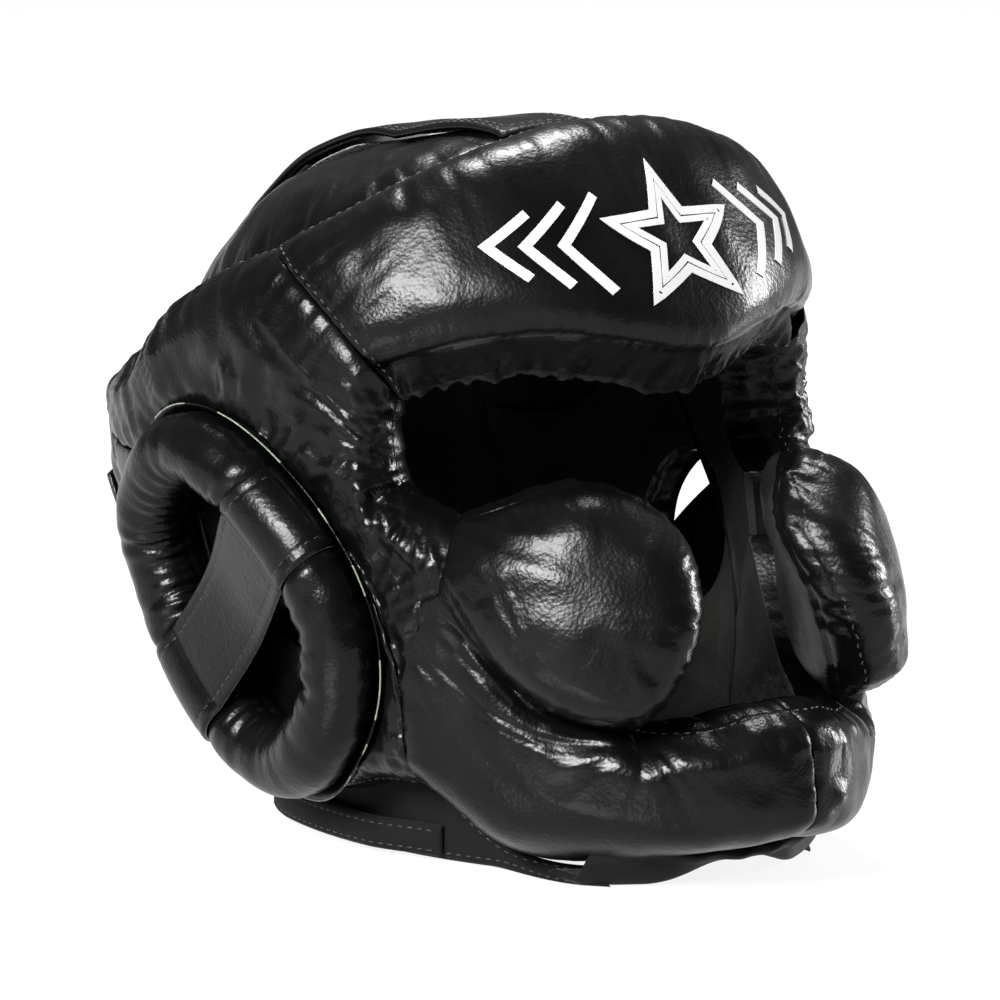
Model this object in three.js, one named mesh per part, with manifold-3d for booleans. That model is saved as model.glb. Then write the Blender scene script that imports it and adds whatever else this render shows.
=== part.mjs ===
// Full-face boxing headgear: padded leather panels around a head-shaped cavity,
// a chin bar, two raised cheek pads, a padded ring round each ear hole, a domed
// crown, a split back with two swinging wings, and hook-and-loop straps.
// Millimetres, +Z up, face towards -Y, wearer's left at +X, resting on Z = 0.
import * as THREE from 'three';
import Module from 'manifold-3d';

const wasm = await Module();
wasm.setup();

// ---- driving dimensions -------------------------------------------------
const LENGTH_SHIFT = -107.5;    // moves the resting outline onto the Y origin
const LEATHER = 1.6;           // outer leather cover
const LINING = 2.0;            // inner leather lining with its backing
const GAP = 0.35;              // between touching layers
const SEAM_GAP = 0.9;          // between neighbouring panels
const CHEEK_BULGE = 13;        // cheek pads stand this far proud
const WEBBING = 2.6;           // textile strap thickness
const PATCH = 1.1;             // hook or loop tape thickness

const RING_TUBE = 12.5;        // radius of the padded ear ring
const RING_MAJOR = 51.5;       // half axes of the ring's centre line
const RING_MINOR = 41;
const RING_LEAN = 46;          // degrees the long axis leans back
const RING_Y = 121;            // ring centre, before the length shift
const RING_Z = 78;
const RING_SQUARE = 2.3;       // exponent of the ring's oval
const RING_LIFT = 0;           // centre line against the outer surface: the ring sits in a bowl
const FLANGE = 1.2;            // leather skirt under the ring, and its reach each way
const FLANGE_OUT = 8;
const FLANGE_IN = 6;
const BOWL_WALL = 14.6;        // the ring's bowl, out from the ring's centre line
const BOWL_FOOT = 9.5;         // where the bowl's wall meets its floor
const BOWL_CORNER = 11.5;      // how deep the wall runs straight before turning in
const BOWL_MOUTH = 40;         // the cutting body reaches this far above the surface
const EAR_HOLE = { y: 101, z: 88, halfWidth: 22, halfHeight: 24 };
const EAR_STRAP_WIDTH = 33;
const EAR_STRAP_THICK = 2;
const FOAM_CLEAR = 0.5;        // foam stays this much further back from a cut than its cover
const THINNEST_PAD = 8.5;      // a padded panel is never thinner than this

// Level sections through the headgear: height, front, back, half width and
// front exponent of the outer surface, then height, front, back, half width
// of the lining behind it.
const SECTIONS = [
  { out: [0, 0, 205, 68, 1.8], inn: [4, 28, 188, 44] },
  { out: [18, -44, 218, 82, 1.75], inn: [18, -18, 198, 56] },
  { out: [40, -48, 232, 91, 1.75], inn: [40, -22, 211, 63] },
  { out: [85, -38, 252, 99, 1.8], inn: [85, -11, 230, 70] },
  { out: [112, -20, 262, 103, 1.9], inn: [111, 7, 240, 73] },
  { out: [165, 1, 264, 105, 2.1], inn: [159, 33, 240, 74] },
  { out: [205, 26, 238, 94, 2.2], inn: [193, 55, 214, 66] },
  { out: [235, 52, 200, 72, 2.2], inn: [217, 78, 180, 47] },
  { out: [252, 88, 160, 40, 2.2], inn: [229, 104, 150, 22] },
];
const BACK_EXPONENT = 2.1;

// ---- head form ----------------------------------------------------------
const rad = THREE.MathUtils.degToRad;

// Smooth curve through (xs, ys) that keeps to the given heights.
function smooth(x, xs, ys) {
  const n = xs.length;
  const t = THREE.MathUtils.clamp(x, xs[0], xs[n - 1]);
  let i = 0;
  while (i < n - 2 && t > xs[i + 1]) i += 1;
  const slope = (k) => {
    const a = Math.max(k - 1, 0);
    const b = Math.min(k + 1, n - 1);
    return (ys[b] - ys[a]) / (xs[b] - xs[a]);
  };
  const h = xs[i + 1] - xs[i];
  const u = (t - xs[i]) / h;
  const u2 = u * u;
  const u3 = u2 * u;
  return (2 * u3 - 3 * u2 + 1) * ys[i] + (u3 - 2 * u2 + u) * h * slope(i)
    + (3 * u2 - 2 * u3) * ys[i + 1] + (u3 - u2) * h * slope(i + 1);
}

const HEIGHTS = SECTIONS.map((s) => s.out[0]);
const column = (key, k) => SECTIONS.map((s) => s[key][k]);
const OUT = { front: column('out', 1), back: column('out', 2), half: column('out', 3) };
const INN = { front: column('inn', 1), back: column('inn', 2), half: column('inn', 3) };
const FRONT_EXPONENT = column('out', 4);
const INNER_HEIGHT = column('inn', 0);

// Point at an angle from straight ahead (+ = wearer's left) on one section.
function section(angle, level, form, z) {
  const front = smooth(level, HEIGHTS, form.front);
  const back = smooth(level, HEIGHTS, form.back);
  const half = smooth(level, HEIGHTS, form.half);
  const middle = (front + back) / 2;
  const s = Math.sin(rad(angle));
  const c = Math.cos(rad(angle));
  const n = c > 0 ? smooth(level, HEIGHTS, FRONT_EXPONENT) : BACK_EXPONENT;
  const reach = c > 0 ? middle - front : back - middle;
  const r = (Math.abs(s / half) ** n + Math.abs(c / reach) ** n) ** (-1 / n);
  return new THREE.Vector3(r * s, middle - r * c + LENGTH_SHIFT, z);
}
const outer = (angle, level) => section(angle, level, OUT, level);
const inner = (angle, level) => (
  section(angle, level, INN, smooth(level, HEIGHTS, INNER_HEIGHT)));
const thickness = (angle, level) => outer(angle, level).distanceTo(inner(angle, level));

// Point h millimetres out from the lining, towards the outer surface.
function layered(angle, level, h) {
  const base = inner(angle, level);
  const tip = outer(angle, level);
  return base.addScaledVector(tip.sub(base).normalize(), h);
}

function outward(angle, level) {
  const step = 0.5;
  const du = outer(angle + step, level).sub(outer(angle - step, level));
  const dv = outer(angle, level + step).sub(outer(angle, level - step));
  return du.cross(dv).normalize();
}

// ---- closed solids ------------------------------------------------------
function volume(points, faces) {
  let six = 0;
  for (let i = 0; i < faces.length; i += 3) {
    const [a, b, c] = [points[faces[i]], points[faces[i + 1]], points[faces[i + 2]]];
    six += a.dot(b.clone().cross(c));
  }
  return six / 6;
}

function solid(points, faces) {
  const order = volume(points, faces) < 0
    ? faces.map((v, i) => faces[i - (i % 3) + [0, 2, 1][i % 3]])
    : faces;
  const geometry = new THREE.BufferGeometry();
  geometry.setAttribute('position', new THREE.Float32BufferAttribute(
    points.flatMap((p) => [p.x, p.y, p.z]), 3));
  geometry.setIndex(order);
  return geometry;
}

// Closed body between two grids of points, grid[i][j], with a rim all round.
function slab(top, bottom) {
  const nu = top.length;
  const nv = top[0].length;
  const points = [...top.flat(), ...bottom.flat()];
  const faces = [];
  const at = (i, j, side) => side * nu * nv + i * nv + j;
  const quad = (a, b, c, d) => faces.push(a, b, c, a, c, d);
  for (let i = 0; i < nu - 1; i += 1) {
    for (let j = 0; j < nv - 1; j += 1) {
      quad(at(i, j, 0), at(i + 1, j, 0), at(i + 1, j + 1, 0), at(i, j + 1, 0));
      quad(at(i, j, 1), at(i, j + 1, 1), at(i + 1, j + 1, 1), at(i + 1, j, 1));
    }
  }
  for (let i = 0; i < nu - 1; i += 1) {
    quad(at(i + 1, 0, 0), at(i, 0, 0), at(i, 0, 1), at(i + 1, 0, 1));
    quad(at(i, nv - 1, 0), at(i + 1, nv - 1, 0), at(i + 1, nv - 1, 1), at(i, nv - 1, 1));
  }
  for (let j = 0; j < nv - 1; j += 1) {
    quad(at(0, j, 0), at(0, j + 1, 0), at(0, j + 1, 1), at(0, j, 1));
    quad(at(nu - 1, j + 1, 0), at(nu - 1, j, 0), at(nu - 1, j, 1), at(nu - 1, j + 1, 1));
  }
  return solid(points, faces);
}

// Closed body swept round a loop: rings[i] is one closed cross-section.
function loop(rings) {
  const n = rings.length;
  const m = rings[0].length;
  const faces = [];
  for (let i = 0; i < n; i += 1) {
    for (let j = 0; j < m; j += 1) {
      const a = i * m + j;
      const b = i * m + ((j + 1) % m);
      const c = ((i + 1) % n) * m + ((j + 1) % m);
      const d = ((i + 1) % n) * m + j;
      faces.push(a, b, c, a, c, d);
    }
  }
  return solid(rings.flat(), faces);
}

// ---- booleans -----------------------------------------------------------
function toManifold(geometry) {
  return new wasm.Manifold(new wasm.Mesh({
    numProp: 3,
    vertProperties: new Float32Array(geometry.attributes.position.array),
    triVerts: new Uint32Array(geometry.index.array),
  }));
}

function fromManifold(body) {
  const mesh = body.getMesh();
  const geometry = new THREE.BufferGeometry();
  geometry.setAttribute('position', new THREE.Float32BufferAttribute(mesh.vertProperties, 3));
  geometry.setIndex(new THREE.Uint32BufferAttribute(mesh.triVerts, 1));
  return geometry;
}

// Oval plug through the side of the headgear, one for each ear.
const PLUG_SPAN = [30, 140];
function earPlug(side, grow) {
  const turns = 24;
  const points = [];
  const faces = [];
  for (const x of PLUG_SPAN) {
    for (let i = 0; i < turns; i += 1) {
      const t = (2 * Math.PI * i) / turns;
      points.push(new THREE.Vector3(
        side * x,
        EAR_HOLE.y + (EAR_HOLE.halfWidth + grow) * Math.cos(t) + LENGTH_SHIFT,
        EAR_HOLE.z + (EAR_HOLE.halfHeight + grow) * Math.sin(t)));
    }
  }
  for (let i = 0; i < turns; i += 1) {
    const j = (i + 1) % turns;
    faces.push(i, j, turns + j, i, turns + j, turns + i);
    if (i > 0 && i < turns - 1) {
      faces.push(0, i + 1, i, turns, turns + i, turns + i + 1);
    }
  }
  return toManifold(solid(points, faces));
}

const pierced = (geometry, side, grow = 0) => (
  fromManifold(toManifold(geometry).subtract(earPlug(side, grow))));

// ---- places on the sides -------------------------------------------------
const LEAN = rad(RING_LEAN);
const LONG = [Math.sin(LEAN), Math.cos(LEAN)];
const SHORT = [Math.cos(LEAN), -Math.sin(LEAN)];

// Point on the side: p across and q along the ring, h above the surface.
const SIDE_ANGLES = [20, 160];
function onSide(side, p, q, h) {
  const y = RING_Y + p * SHORT[0] + q * LONG[0] + LENGTH_SHIFT;
  const z = RING_Z + p * SHORT[1] + q * LONG[1];
  let [low, high] = SIDE_ANGLES;
  for (let k = 0; k < 40; k += 1) {
    const mid = (low + high) / 2;
    if (outer(mid, z).y < y) low = mid;
    else high = mid;
  }
  const point = outer(low, z).addScaledVector(outward(low, z), h);
  point.x *= side;
  return point;
}

// Centre line of the ring, with its outward direction.
function oval(t) {
  const power = (v) => Math.sign(v) * Math.abs(v) ** (2 / RING_SQUARE);
  const p = RING_MINOR * power(Math.cos(t));
  const q = RING_MAJOR * power(Math.sin(t));
  const slope = (v, half) => Math.sign(v) * Math.abs(v / half) ** (RING_SQUARE - 1) / half;
  const n = new THREE.Vector2(slope(p, RING_MINOR), slope(q, RING_MAJOR)).normalize();
  return [p, q, n];
}

// Sweeps a closed outline of (across, height) round the ring's centre line.
function ringSolid(side, outline, turns) {
  const rings = [];
  for (let i = 0; i < turns; i += 1) {
    const t = (2 * Math.PI * i) / turns;
    const [p, q, n] = oval(t);
    rings.push(outline.map(([across, height]) => onSide(
      side, p + n.x * across, q + n.y * across, RING_LIFT + height)));
  }
  return loop(rings);
}

// Oval bowl that the ear ring sits in: [out from the centre line, height] down its wall.
const BOWL_FLOOR = -(RING_TUBE + FLANGE + 2 * GAP);
const BOWL_PROFILE = [
  [BOWL_WALL, BOWL_MOUTH],
  [BOWL_WALL, 4],
  [BOWL_WALL, -6],
  [BOWL_WALL - 2, -BOWL_CORNER],
  [BOWL_FOOT, BOWL_FLOOR],
];
function ringBowl(side, grow) {
  const turns = 36;
  const points = [];
  const faces = [];
  BOWL_PROFILE.forEach(([across, height]) => {
    for (let i = 0; i < turns; i += 1) {
      const [p, q, n] = oval((2 * Math.PI * i) / turns);
      points.push(onSide(side, p + n.x * (across + grow), q + n.y * (across + grow),
        RING_LIFT + height - (height < 0 ? grow : 0)));
    }
  });
  const last = (BOWL_PROFILE.length - 1) * turns;
  for (let k = 0; k < last; k += turns) {
    for (let i = 0; i < turns; i += 1) {
      const a = k + i;
      const b = k + ((i + 1) % turns);
      faces.push(a, b, b + turns, a, b + turns, a + turns);
    }
  }
  const top = points.push(onSide(side, 0, 0, RING_LIFT + BOWL_MOUTH)) - 1;
  const floor = points.push(onSide(side, 0, 0, RING_LIFT + BOWL_FLOOR - grow)) - 1;
  for (let i = 0; i < turns; i += 1) {
    const j = (i + 1) % turns;
    faces.push(top, j, i, floor, last + i, last + j);
  }
  return toManifold(solid(points, faces));
}

// Takes the bowl out of a panel and keeps its main body, not the slivers beyond the bowl.
function bowled(geometry, side, grow = 0) {
  const bodies = toManifold(geometry).subtract(ringBowl(side, grow)).decompose();
  bodies.sort((a, b) => b.volume() - a.volume());
  return fromManifold(bodies[0]);
}

// ---- panels -------------------------------------------------------------
// A stretch of a panel's edge: points [angle, level], how many grid steps it
// takes, how much of the thickness it gives up and over what distance.
const stretch = (steps, drop, roll, ...via) => ({ steps, drop, roll, via, fade: 0 });
const mirrored = (via) => via.slice().reverse().map(([a, z]) => [-a, z]);

function sample(side) {
  const out = [];
  side.forEach(({ via, steps }, k) => {
    const curve = new THREE.SplineCurve(via.map(([a, z]) => new THREE.Vector2(a, z)));
    for (let i = k === 0 ? 0 : 1; i <= steps; i += 1) {
      out.push(curve.getPoint(i / steps));
    }
  });
  return out;
}

// Blends the four edges of a panel into a grid of (angle, level).
function patch({ bottom, top, left, right }) {
  const [b, t, l, r] = [bottom, top, left, right].map(sample);
  const nu = b.length - 1;
  const nv = l.length - 1;
  const grid = [];
  for (let i = 0; i <= nu; i += 1) {
    const u = i / nu;
    const row = [];
    for (let j = 0; j <= nv; j += 1) {
      const v = j / nv;
      const mix = (key) => (1 - v) * b[i][key] + v * t[i][key]
        + (1 - u) * l[j][key] + u * r[j][key]
        - (1 - u) * (1 - v) * b[0][key] - u * (1 - v) * b[nu][key]
        - (1 - u) * v * t[0][key] - u * v * t[nu][key];
      row.push([mix('x'), mix('y')]);
    }
    grid.push(row);
  }
  return grid;
}

function nearest(point, line) {
  let best = Infinity;
  const segment = new THREE.Line3();
  const foot = new THREE.Vector3();
  for (let i = 0; i < line.length - 1; i += 1) {
    segment.set(line[i], line[i + 1]);
    segment.closestPointToPoint(point, true, foot);
    best = Math.min(best, foot.distanceTo(point));
  }
  return best;
}

const rise = (x) => Math.sqrt(1 - (1 - Math.min(x, 1)) ** 2);

// Draws the outline of a grid in by half the seam gap, square to each edge.
const CORNER_LIMIT = 3;
function inset(grid, amount) {
  const nu = grid.length - 1;
  const nv = grid[0].length - 1;
  const node = (i, j) => grid[Math.min(Math.max(i, 0), nu)][Math.min(Math.max(j, 0), nv)];
  return grid.map((row, i) => row.map(([a, z], j) => {
    const di = i === 0 ? 1 : -(i === nu);
    const dj = j === 0 ? 1 : -(j === nv);
    if (!di && !dj) return [a, z];
    const wide = outer(a + 0.5, z).distanceTo(outer(a - 0.5, z));
    const tall = outer(a, z + 0.5).distanceTo(outer(a, z - 0.5));
    const flat = (p, q) => new THREE.Vector2((p[0] - q[0]) * wide, (p[1] - q[1]) * tall);
    const square = (edge, into) => {
      const n = new THREE.Vector2(-edge.y, edge.x).normalize();
      return n.dot(into) < 0 ? n.negate() : n;
    };
    const normals = [];
    if (dj) normals.push(square(flat(node(i + 1, j), node(i - 1, j)), flat(node(i, j + dj), [a, z])));
    if (di) normals.push(square(flat(node(i, j + 1), node(i, j - 1)), flat(node(i + di, j), [a, z])));
    const move = normals[0].clone().multiplyScalar(amount);
    if (normals.length === 2) {
      move.add(normals[1].clone().multiplyScalar(amount));
      move.multiplyScalar(1 / Math.max(1 + normals[0].dot(normals[1]), 1e-3));
      move.clampLength(0, CORNER_LIMIT);
    }
    return [a + move.x / wide, z + move.y / tall];
  }));
}

// An edge that gives up more of the thickness than this is free, not a seam.
const FREE_EDGE = 0.2;

// Cover, foam and lining grids for a padded panel. bulge lifts the middle
// above the outer surface, lift raises the lining along the free edges.
function padded(panel) {
  const { sides, bulge = 0, lift = 0, side = 1 } = panel;
  const edges = Object.values(sides).flat().map((s) => ({
    ...s,
    line: sample([s]).map((p) => outer(p.x, p.y)),
  }));
  const grid = inset(patch(sides), SEAM_GAP / 2);
  const build = (height) => grid.map((row) => row.map(([a, z]) => {
    const here = outer(a, z);
    let fill = 1;
    let swell = 1;
    for (const e of edges) {
      const x = rise(nearest(here, e.line) / e.roll);
      fill *= 1 - e.drop * (1 - x);
      if (e.drop > FREE_EDGE) swell *= x;
      if (e.fade > 0) swell *= rise(nearest(here, e.line) / e.fade);
    }
    const full = thickness(a, z);
    const low = lift * (1 - swell);
    const high = Math.max(full * fill + bulge * swell, low + THINNEST_PAD);
    const p = layered(a, z, height(high, low));
    p.x *= side;
    return p;
  }));
  return {
    cover: slab(build((h) => h), build((h) => h - LEATHER)),
    foam: slab(build((h) => h - LEATHER - GAP), build((h, l) => l + LINING + GAP)),
    lining: slab(build((h, l) => l + LINING), build((h, l) => l)),
  };
}

// ---- materials ----------------------------------------------------------
const MATERIALS = {
  leather: { color: 0x101012, roughness: 0.3, metalness: 0 },
  lining: { color: 0x171717, roughness: 0.5, metalness: 0 },
  foam: { color: 0x35363a, roughness: 0.9, metalness: 0 },
  rawEdge: { color: 0xa9b59a, roughness: 0.7, metalness: 0 },
  webbing: { color: 0x17181b, roughness: 0.85, metalness: 0 },
  hook: { color: 0x1f2023, roughness: 0.95, metalness: 0 },
  loop: { color: 0x2a2b2f, roughness: 1, metalness: 0 },
};

const headgear = new THREE.Group();
headgear.name = 'boxing_headgear';

function add(name, geometry, material) {
  const mesh = new THREE.Mesh(geometry, new THREE.MeshStandardMaterial(MATERIALS[material]));
  mesh.name = name;
  headgear.add(mesh);
}

function addPad(name, suffix, parts) {
  add(`${name}_cover${suffix}`, parts.cover, 'leather');
  add(`${name}_foam${suffix}`, parts.foam, 'foam');
  if (parts.lining) add(`${name}_lining${suffix}`, parts.lining, 'lining');
}

const SIDES = [['_right', -1], ['_left', 1]];
const SEAM_DROP = 0.12;
const SEAM_ROLL = 10;

// ---- forehead -----------------------------------------------------------
const TEMPLE_SEAM = [[48, 152], [55, 168], [65, 184], [77, 197]];
const BROW = [[-48, 152], [-36, 159], [-24, 162], [-12, 159], [0, 155],
  [12, 159], [24, 162], [36, 159], [48, 152]];
const FOREHEAD_TOP = [[-77, 197], [-59, 214], [-43, 227], [-22, 236], [0, 238],
  [22, 236], [43, 227], [59, 214], [77, 197]];
addPad('forehead', '', padded({
  sides: {
    bottom: [stretch(16, 0.45, 14, ...BROW)],
    top: [stretch(16, 0.5, 20, ...FOREHEAD_TOP)],
    left: [stretch(6, SEAM_DROP, SEAM_ROLL, ...TEMPLE_SEAM.map(([a, z]) => [-a, z]))],
    right: [stretch(6, SEAM_DROP, SEAM_ROLL, ...TEMPLE_SEAM)],
  },
}));

// ---- sides, chin bar, cheeks, wings -------------------------------------
const TEMPLE_TOP = [[139, 142], [120, 157], [105, 174], [90, 188], [77, 197]];
const EYE_EDGE = [[48, 152], [50, 138], [50, 124], [46, 117], [41, 114]];
const EAR_TOP = [[139, 118], [120, 120], [104, 132], [88, 141]];
const EAR_FRONT = [[88, 141], [76, 135], [69, 118]];
const EAR_CORNER = [[69, 118], [64, 102], [61, 80], [61, 60]];
const SIDE_BOTTOM = [[138.5, 13], [120, 15], [100, 19], [80, 26], [66, 27]];
const JAW_REAR = [[66, 27], [63.5, 43.5], [61, 60]];
const JAW_SHOULDER = [[61, 60], [55, 77], [48, 92]];
const CHEEK_ROOT = [[48, 92], [44.5, 103], [41, 114]];
const CHEEK_FOLD = [[48, 92], [43, 74], [34, 57], [21, 51.5]];
const CHEEK_FRONT = [[21, 51.5], [15, 71], [11, 92], [10, 110], [14, 122]];
const CHEEK_TOP = [[41, 114], [31, 122], [22, 127], [14, 122]];
const JAW_TOP = [[21, 51.5], [12, 53], [6, 56.5], [0, 57.5]];
const JAW_BOTTOM = [[66, 27], [45, 8], [26, 2.5], [10, 10], [0, 16]];

const soft = (steps, via) => stretch(steps, SEAM_DROP, SEAM_ROLL, ...via);

for (const [suffix, side] of SIDES) {
  const temple = padded({
    side,
    sides: {
      bottom: [soft(5, EAR_TOP), soft(4, EAR_FRONT), soft(5, EAR_CORNER)],
      top: [
        stretch(5, 0.5, 20, ...TEMPLE_TOP),
        soft(4, TEMPLE_SEAM.slice().reverse()),
        stretch(5, 0.55, 16, ...EYE_EDGE),
      ],
      left: [soft(6, [[139, 118], [139, 142]])],
      right: [soft(4, JAW_SHOULDER), soft(2, CHEEK_ROOT)],
    },
  });
  addPad('temple', suffix, {
    cover: bowled(temple.cover, side),
    foam: bowled(temple.foam, side, FOAM_CLEAR),
  });

  const ear = padded({
    side,
    sides: {
      bottom: [stretch(14, 0.6, 14, ...SIDE_BOTTOM)],
      top: [soft(5, EAR_TOP), soft(4, EAR_FRONT), soft(5, EAR_CORNER)],
      left: [soft(7, [[138.5, 13], [139, 60], [139, 118]])],
      right: [soft(7, JAW_REAR)],
    },
  });
  addPad('ear_panel', suffix, {
    cover: bowled(pierced(ear.cover, side), side),
    foam: bowled(pierced(ear.foam, side, FOAM_CLEAR), side, FOAM_CLEAR),
  });

  const whole = padded({
    side,
    sides: {
      bottom: [stretch(14, 0.6, 14, ...SIDE_BOTTOM)],
      top: [
        stretch(5, 0.5, 20, ...TEMPLE_TOP),
        soft(4, TEMPLE_SEAM.slice().reverse()),
        stretch(5, 0.55, 16, ...EYE_EDGE),
      ],
      left: [soft(8, [[138.5, 13], [139, 60], [139, 118], [139, 142]])],
      right: [soft(2, JAW_REAR), soft(3, JAW_SHOULDER), soft(3, CHEEK_ROOT)],
    },
  });
  add(`side_lining${suffix}`, pierced(whole.lining, side), 'lining');

  addPad('cheek', suffix, padded({
    side,
    bulge: CHEEK_BULGE,
    lift: 14,
    sides: {
      bottom: [stretch(7, 0.3, 14, ...CHEEK_FOLD)],
      right: [stretch(7, 0.22, 20, ...CHEEK_FRONT)],
      top: [stretch(7, 0.22, 18, ...CHEEK_TOP)],
      left: [{ ...soft(7, CHEEK_ROOT), fade: 40 }],
    },
  }));

  addPad('jaw', suffix, padded({
    side,
    sides: {
      bottom: [stretch(12, 0.6, 14, ...JAW_BOTTOM)],
      right: [soft(6, [[0, 16], [0, 57.5]])],
      top: [stretch(7, 0.5, 12, ...CHEEK_FOLD), stretch(5, 0.55, 12, ...JAW_TOP)],
      left: [soft(2, JAW_REAR), soft(4, JAW_SHOULDER)],
    },
  }));

  addPad('rear_wing', suffix, padded({
    side,
    sides: {
      bottom: [stretch(4, 0.6, 12, [158.5, 11], [140, 12])],
      top: [stretch(4, 0.5, 16, [158.5, 138], [140, 141])],
      left: [stretch(9, 0.4, 12, [158.5, 11], [158.5, 138])],
      right: [soft(9, [[140, 12], [140, 141]])],
    },
  }));
}

const REAR_TOP = [[159.5, 137], [180, 135], [200.5, 137]];
addPad('rear_pad', '', padded({
  sides: {
    bottom: [stretch(6, 0.6, 12, [159.5, 10], [180, 10], [200.5, 10])],
    top: [stretch(6, 0.5, 16, ...REAR_TOP)],
    left: [stretch(8, 0.4, 12, [159.5, 10], [159.5, 137])],
    right: [stretch(8, 0.4, 12, [200.5, 10], [200.5, 137])],
  },
}));

// ---- sheets that lie on the form ----------------------------------------
// A sheet over a range of angles and levels, from height low to high. An
// upright one keeps the plan outline of one level at every height.
const NECK_LEVEL = 9;
function sheet(side, angles, levels, steps, low, high, upright = false) {
  const build = (height) => {
    const grid = [];
    for (let i = 0; i <= steps[0]; i += 1) {
      const a = THREE.MathUtils.lerp(angles[0], angles[1], i / steps[0]);
      const [bottom, top] = levels(a, i / steps[0]);
      const row = [];
      for (let j = 0; j <= steps[1]; j += 1) {
        const z = THREE.MathUtils.lerp(bottom, top, j / steps[1]);
        const p = layered(a, upright ? NECK_LEVEL : z, height(a, z));
        p.x *= side;
        if (upright) p.z = z;
        row.push(p);
      }
      grid.push(row);
    }
    return grid;
  };
  return slab(build(high), build(low));
}

// Tapers a strip to a rounded end over its last part.
const END_TAPER = 0.32;
const rounded = (bottom, top, u, from) => {
  const t = Math.max((u - from) / (1 - from), 0);
  const trim = (top - bottom) * END_TAPER * (1 - Math.sqrt(1 - t * t));
  return [bottom + trim, top - trim];
};

const LOOP_BASE = 0.4;
const HOOK_BASE = LOOP_BASE + PATCH + GAP;
const TAB_BASE = HOOK_BASE + PATCH + GAP;
const over = (h) => (a, z) => thickness(a, z) + h;
const TAB_LEVELS = [42, 102];

add('rear_loop_patch', sheet(1, [163, 197], () => [38, 106], [10, 3],
  over(LOOP_BASE), over(LOOP_BASE + PATCH)), 'loop');
for (const [suffix, side] of SIDES) {
  add(`wing_tab${suffix}`, sheet(side, [150, 176.5],
    (a, u) => rounded(...TAB_LEVELS, u, 0.7), [10, 5],
    over(TAB_BASE), over(TAB_BASE + WEBBING)), 'webbing');
  add(`wing_hook_patch${suffix}`, sheet(side, [164, 175],
    () => [48, 96], [4, 3],
    over(HOOK_BASE), over(HOOK_BASE + PATCH)), 'hook');
}

// ---- neck band and strap ------------------------------------------------
const BAND_LOW = 10;
const BAND_THICK = 3.4;
const BAND_TUCK = 4.5;         // the band stops this far below the pads
const BAND_HIGH = BAND_LOW + BAND_THICK;
const NECK_LOOP = BAND_HIGH + GAP;
const NECK_HOOK = NECK_LOOP + PATCH + GAP;
const NECK_STRAP = NECK_HOOK + PATCH + GAP;
const at = (h) => () => h;

// Level of a panel's lower edge at an angle.
function levelOn(via, angle) {
  const curve = new THREE.SplineCurve(via.map(([a, z]) => new THREE.Vector2(a, z)));
  let low = 0;
  let high = 1;
  for (let k = 0; k < 30; k += 1) {
    const mid = (low + high) / 2;
    if (curve.getPoint(mid).x > angle) low = mid;
    else high = mid;
  }
  return curve.getPoint(low).y;
}
const padBottom = (a) => levelOn(a > 66 ? SIDE_BOTTOM : JAW_BOTTOM, a);

for (const [suffix, side] of SIDES) {
  add(`neck_band${suffix}`, sheet(side, [46, 136],
    (a) => [0, padBottom(a) - BAND_TUCK], [18, 2], at(BAND_LOW), at(BAND_HIGH), true), 'webbing');
}
add('neck_strap', sheet(-1, [62, 133],
  (a, u) => rounded(1.2, 11.4, u, 0.9), [14, 2],
  at(NECK_STRAP), at(NECK_STRAP + WEBBING), true), 'webbing');
add('neck_loop_patch', sheet(-1, [92, 128],
  () => [2.2, 10.4], [7, 1], at(NECK_LOOP), at(NECK_LOOP + PATCH), true), 'loop');
add('neck_hook_patch', sheet(-1, [100, 127],
  () => [2.2, 10.4], [6, 1], at(NECK_HOOK), at(NECK_HOOK + PATCH), true), 'hook');

// Flat strap across the throat, between the front ends of the neck bands.
const THROAT_HALF = 44;
const THROAT_WIDTH = 24;
const THROAT_THICK = 3;
const THROAT_FRONT = -20;      // front edge in the middle, before the length shift
const THROAT_SWEEP = 18;       // how far its ends run back
const THROAT_RISE = 8;
const THROAT_FLAT = 30;        // the strap lies flat beyond this distance from the middle
const throat = (thick) => {
  const grid = [];
  const steps = 22;
  for (let i = 0; i <= steps; i += 1) {
    const x = THREE.MathUtils.lerp(-THROAT_HALF, THROAT_HALF, i / steps);
    const front = THROAT_FRONT + THROAT_SWEEP * (x / THROAT_HALF) ** 2 + LENGTH_SHIFT;
    const turn = (Math.PI / 2) * Math.min(Math.abs(x) / THROAT_FLAT, 1);
    const z = THROAT_RISE * Math.cos(turn) ** 2 + thick;
    grid.push([0, 1].map((v) => new THREE.Vector3(x, front + v * THROAT_WIDTH, z)));
  }
  return grid;
};
add('throat_strap', slab(throat(THROAT_THICK), throat(0)), 'webbing');

// ---- ear rings ----------------------------------------------------------
function arc(radius, from, to, steps) {
  const out = [];
  for (let i = 0; i <= steps; i += 1) {
    const t = rad(THREE.MathUtils.lerp(from, to, i / steps));
    out.push([radius * Math.sin(t), radius * Math.cos(t)]);
  }
  return out;
}

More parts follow.
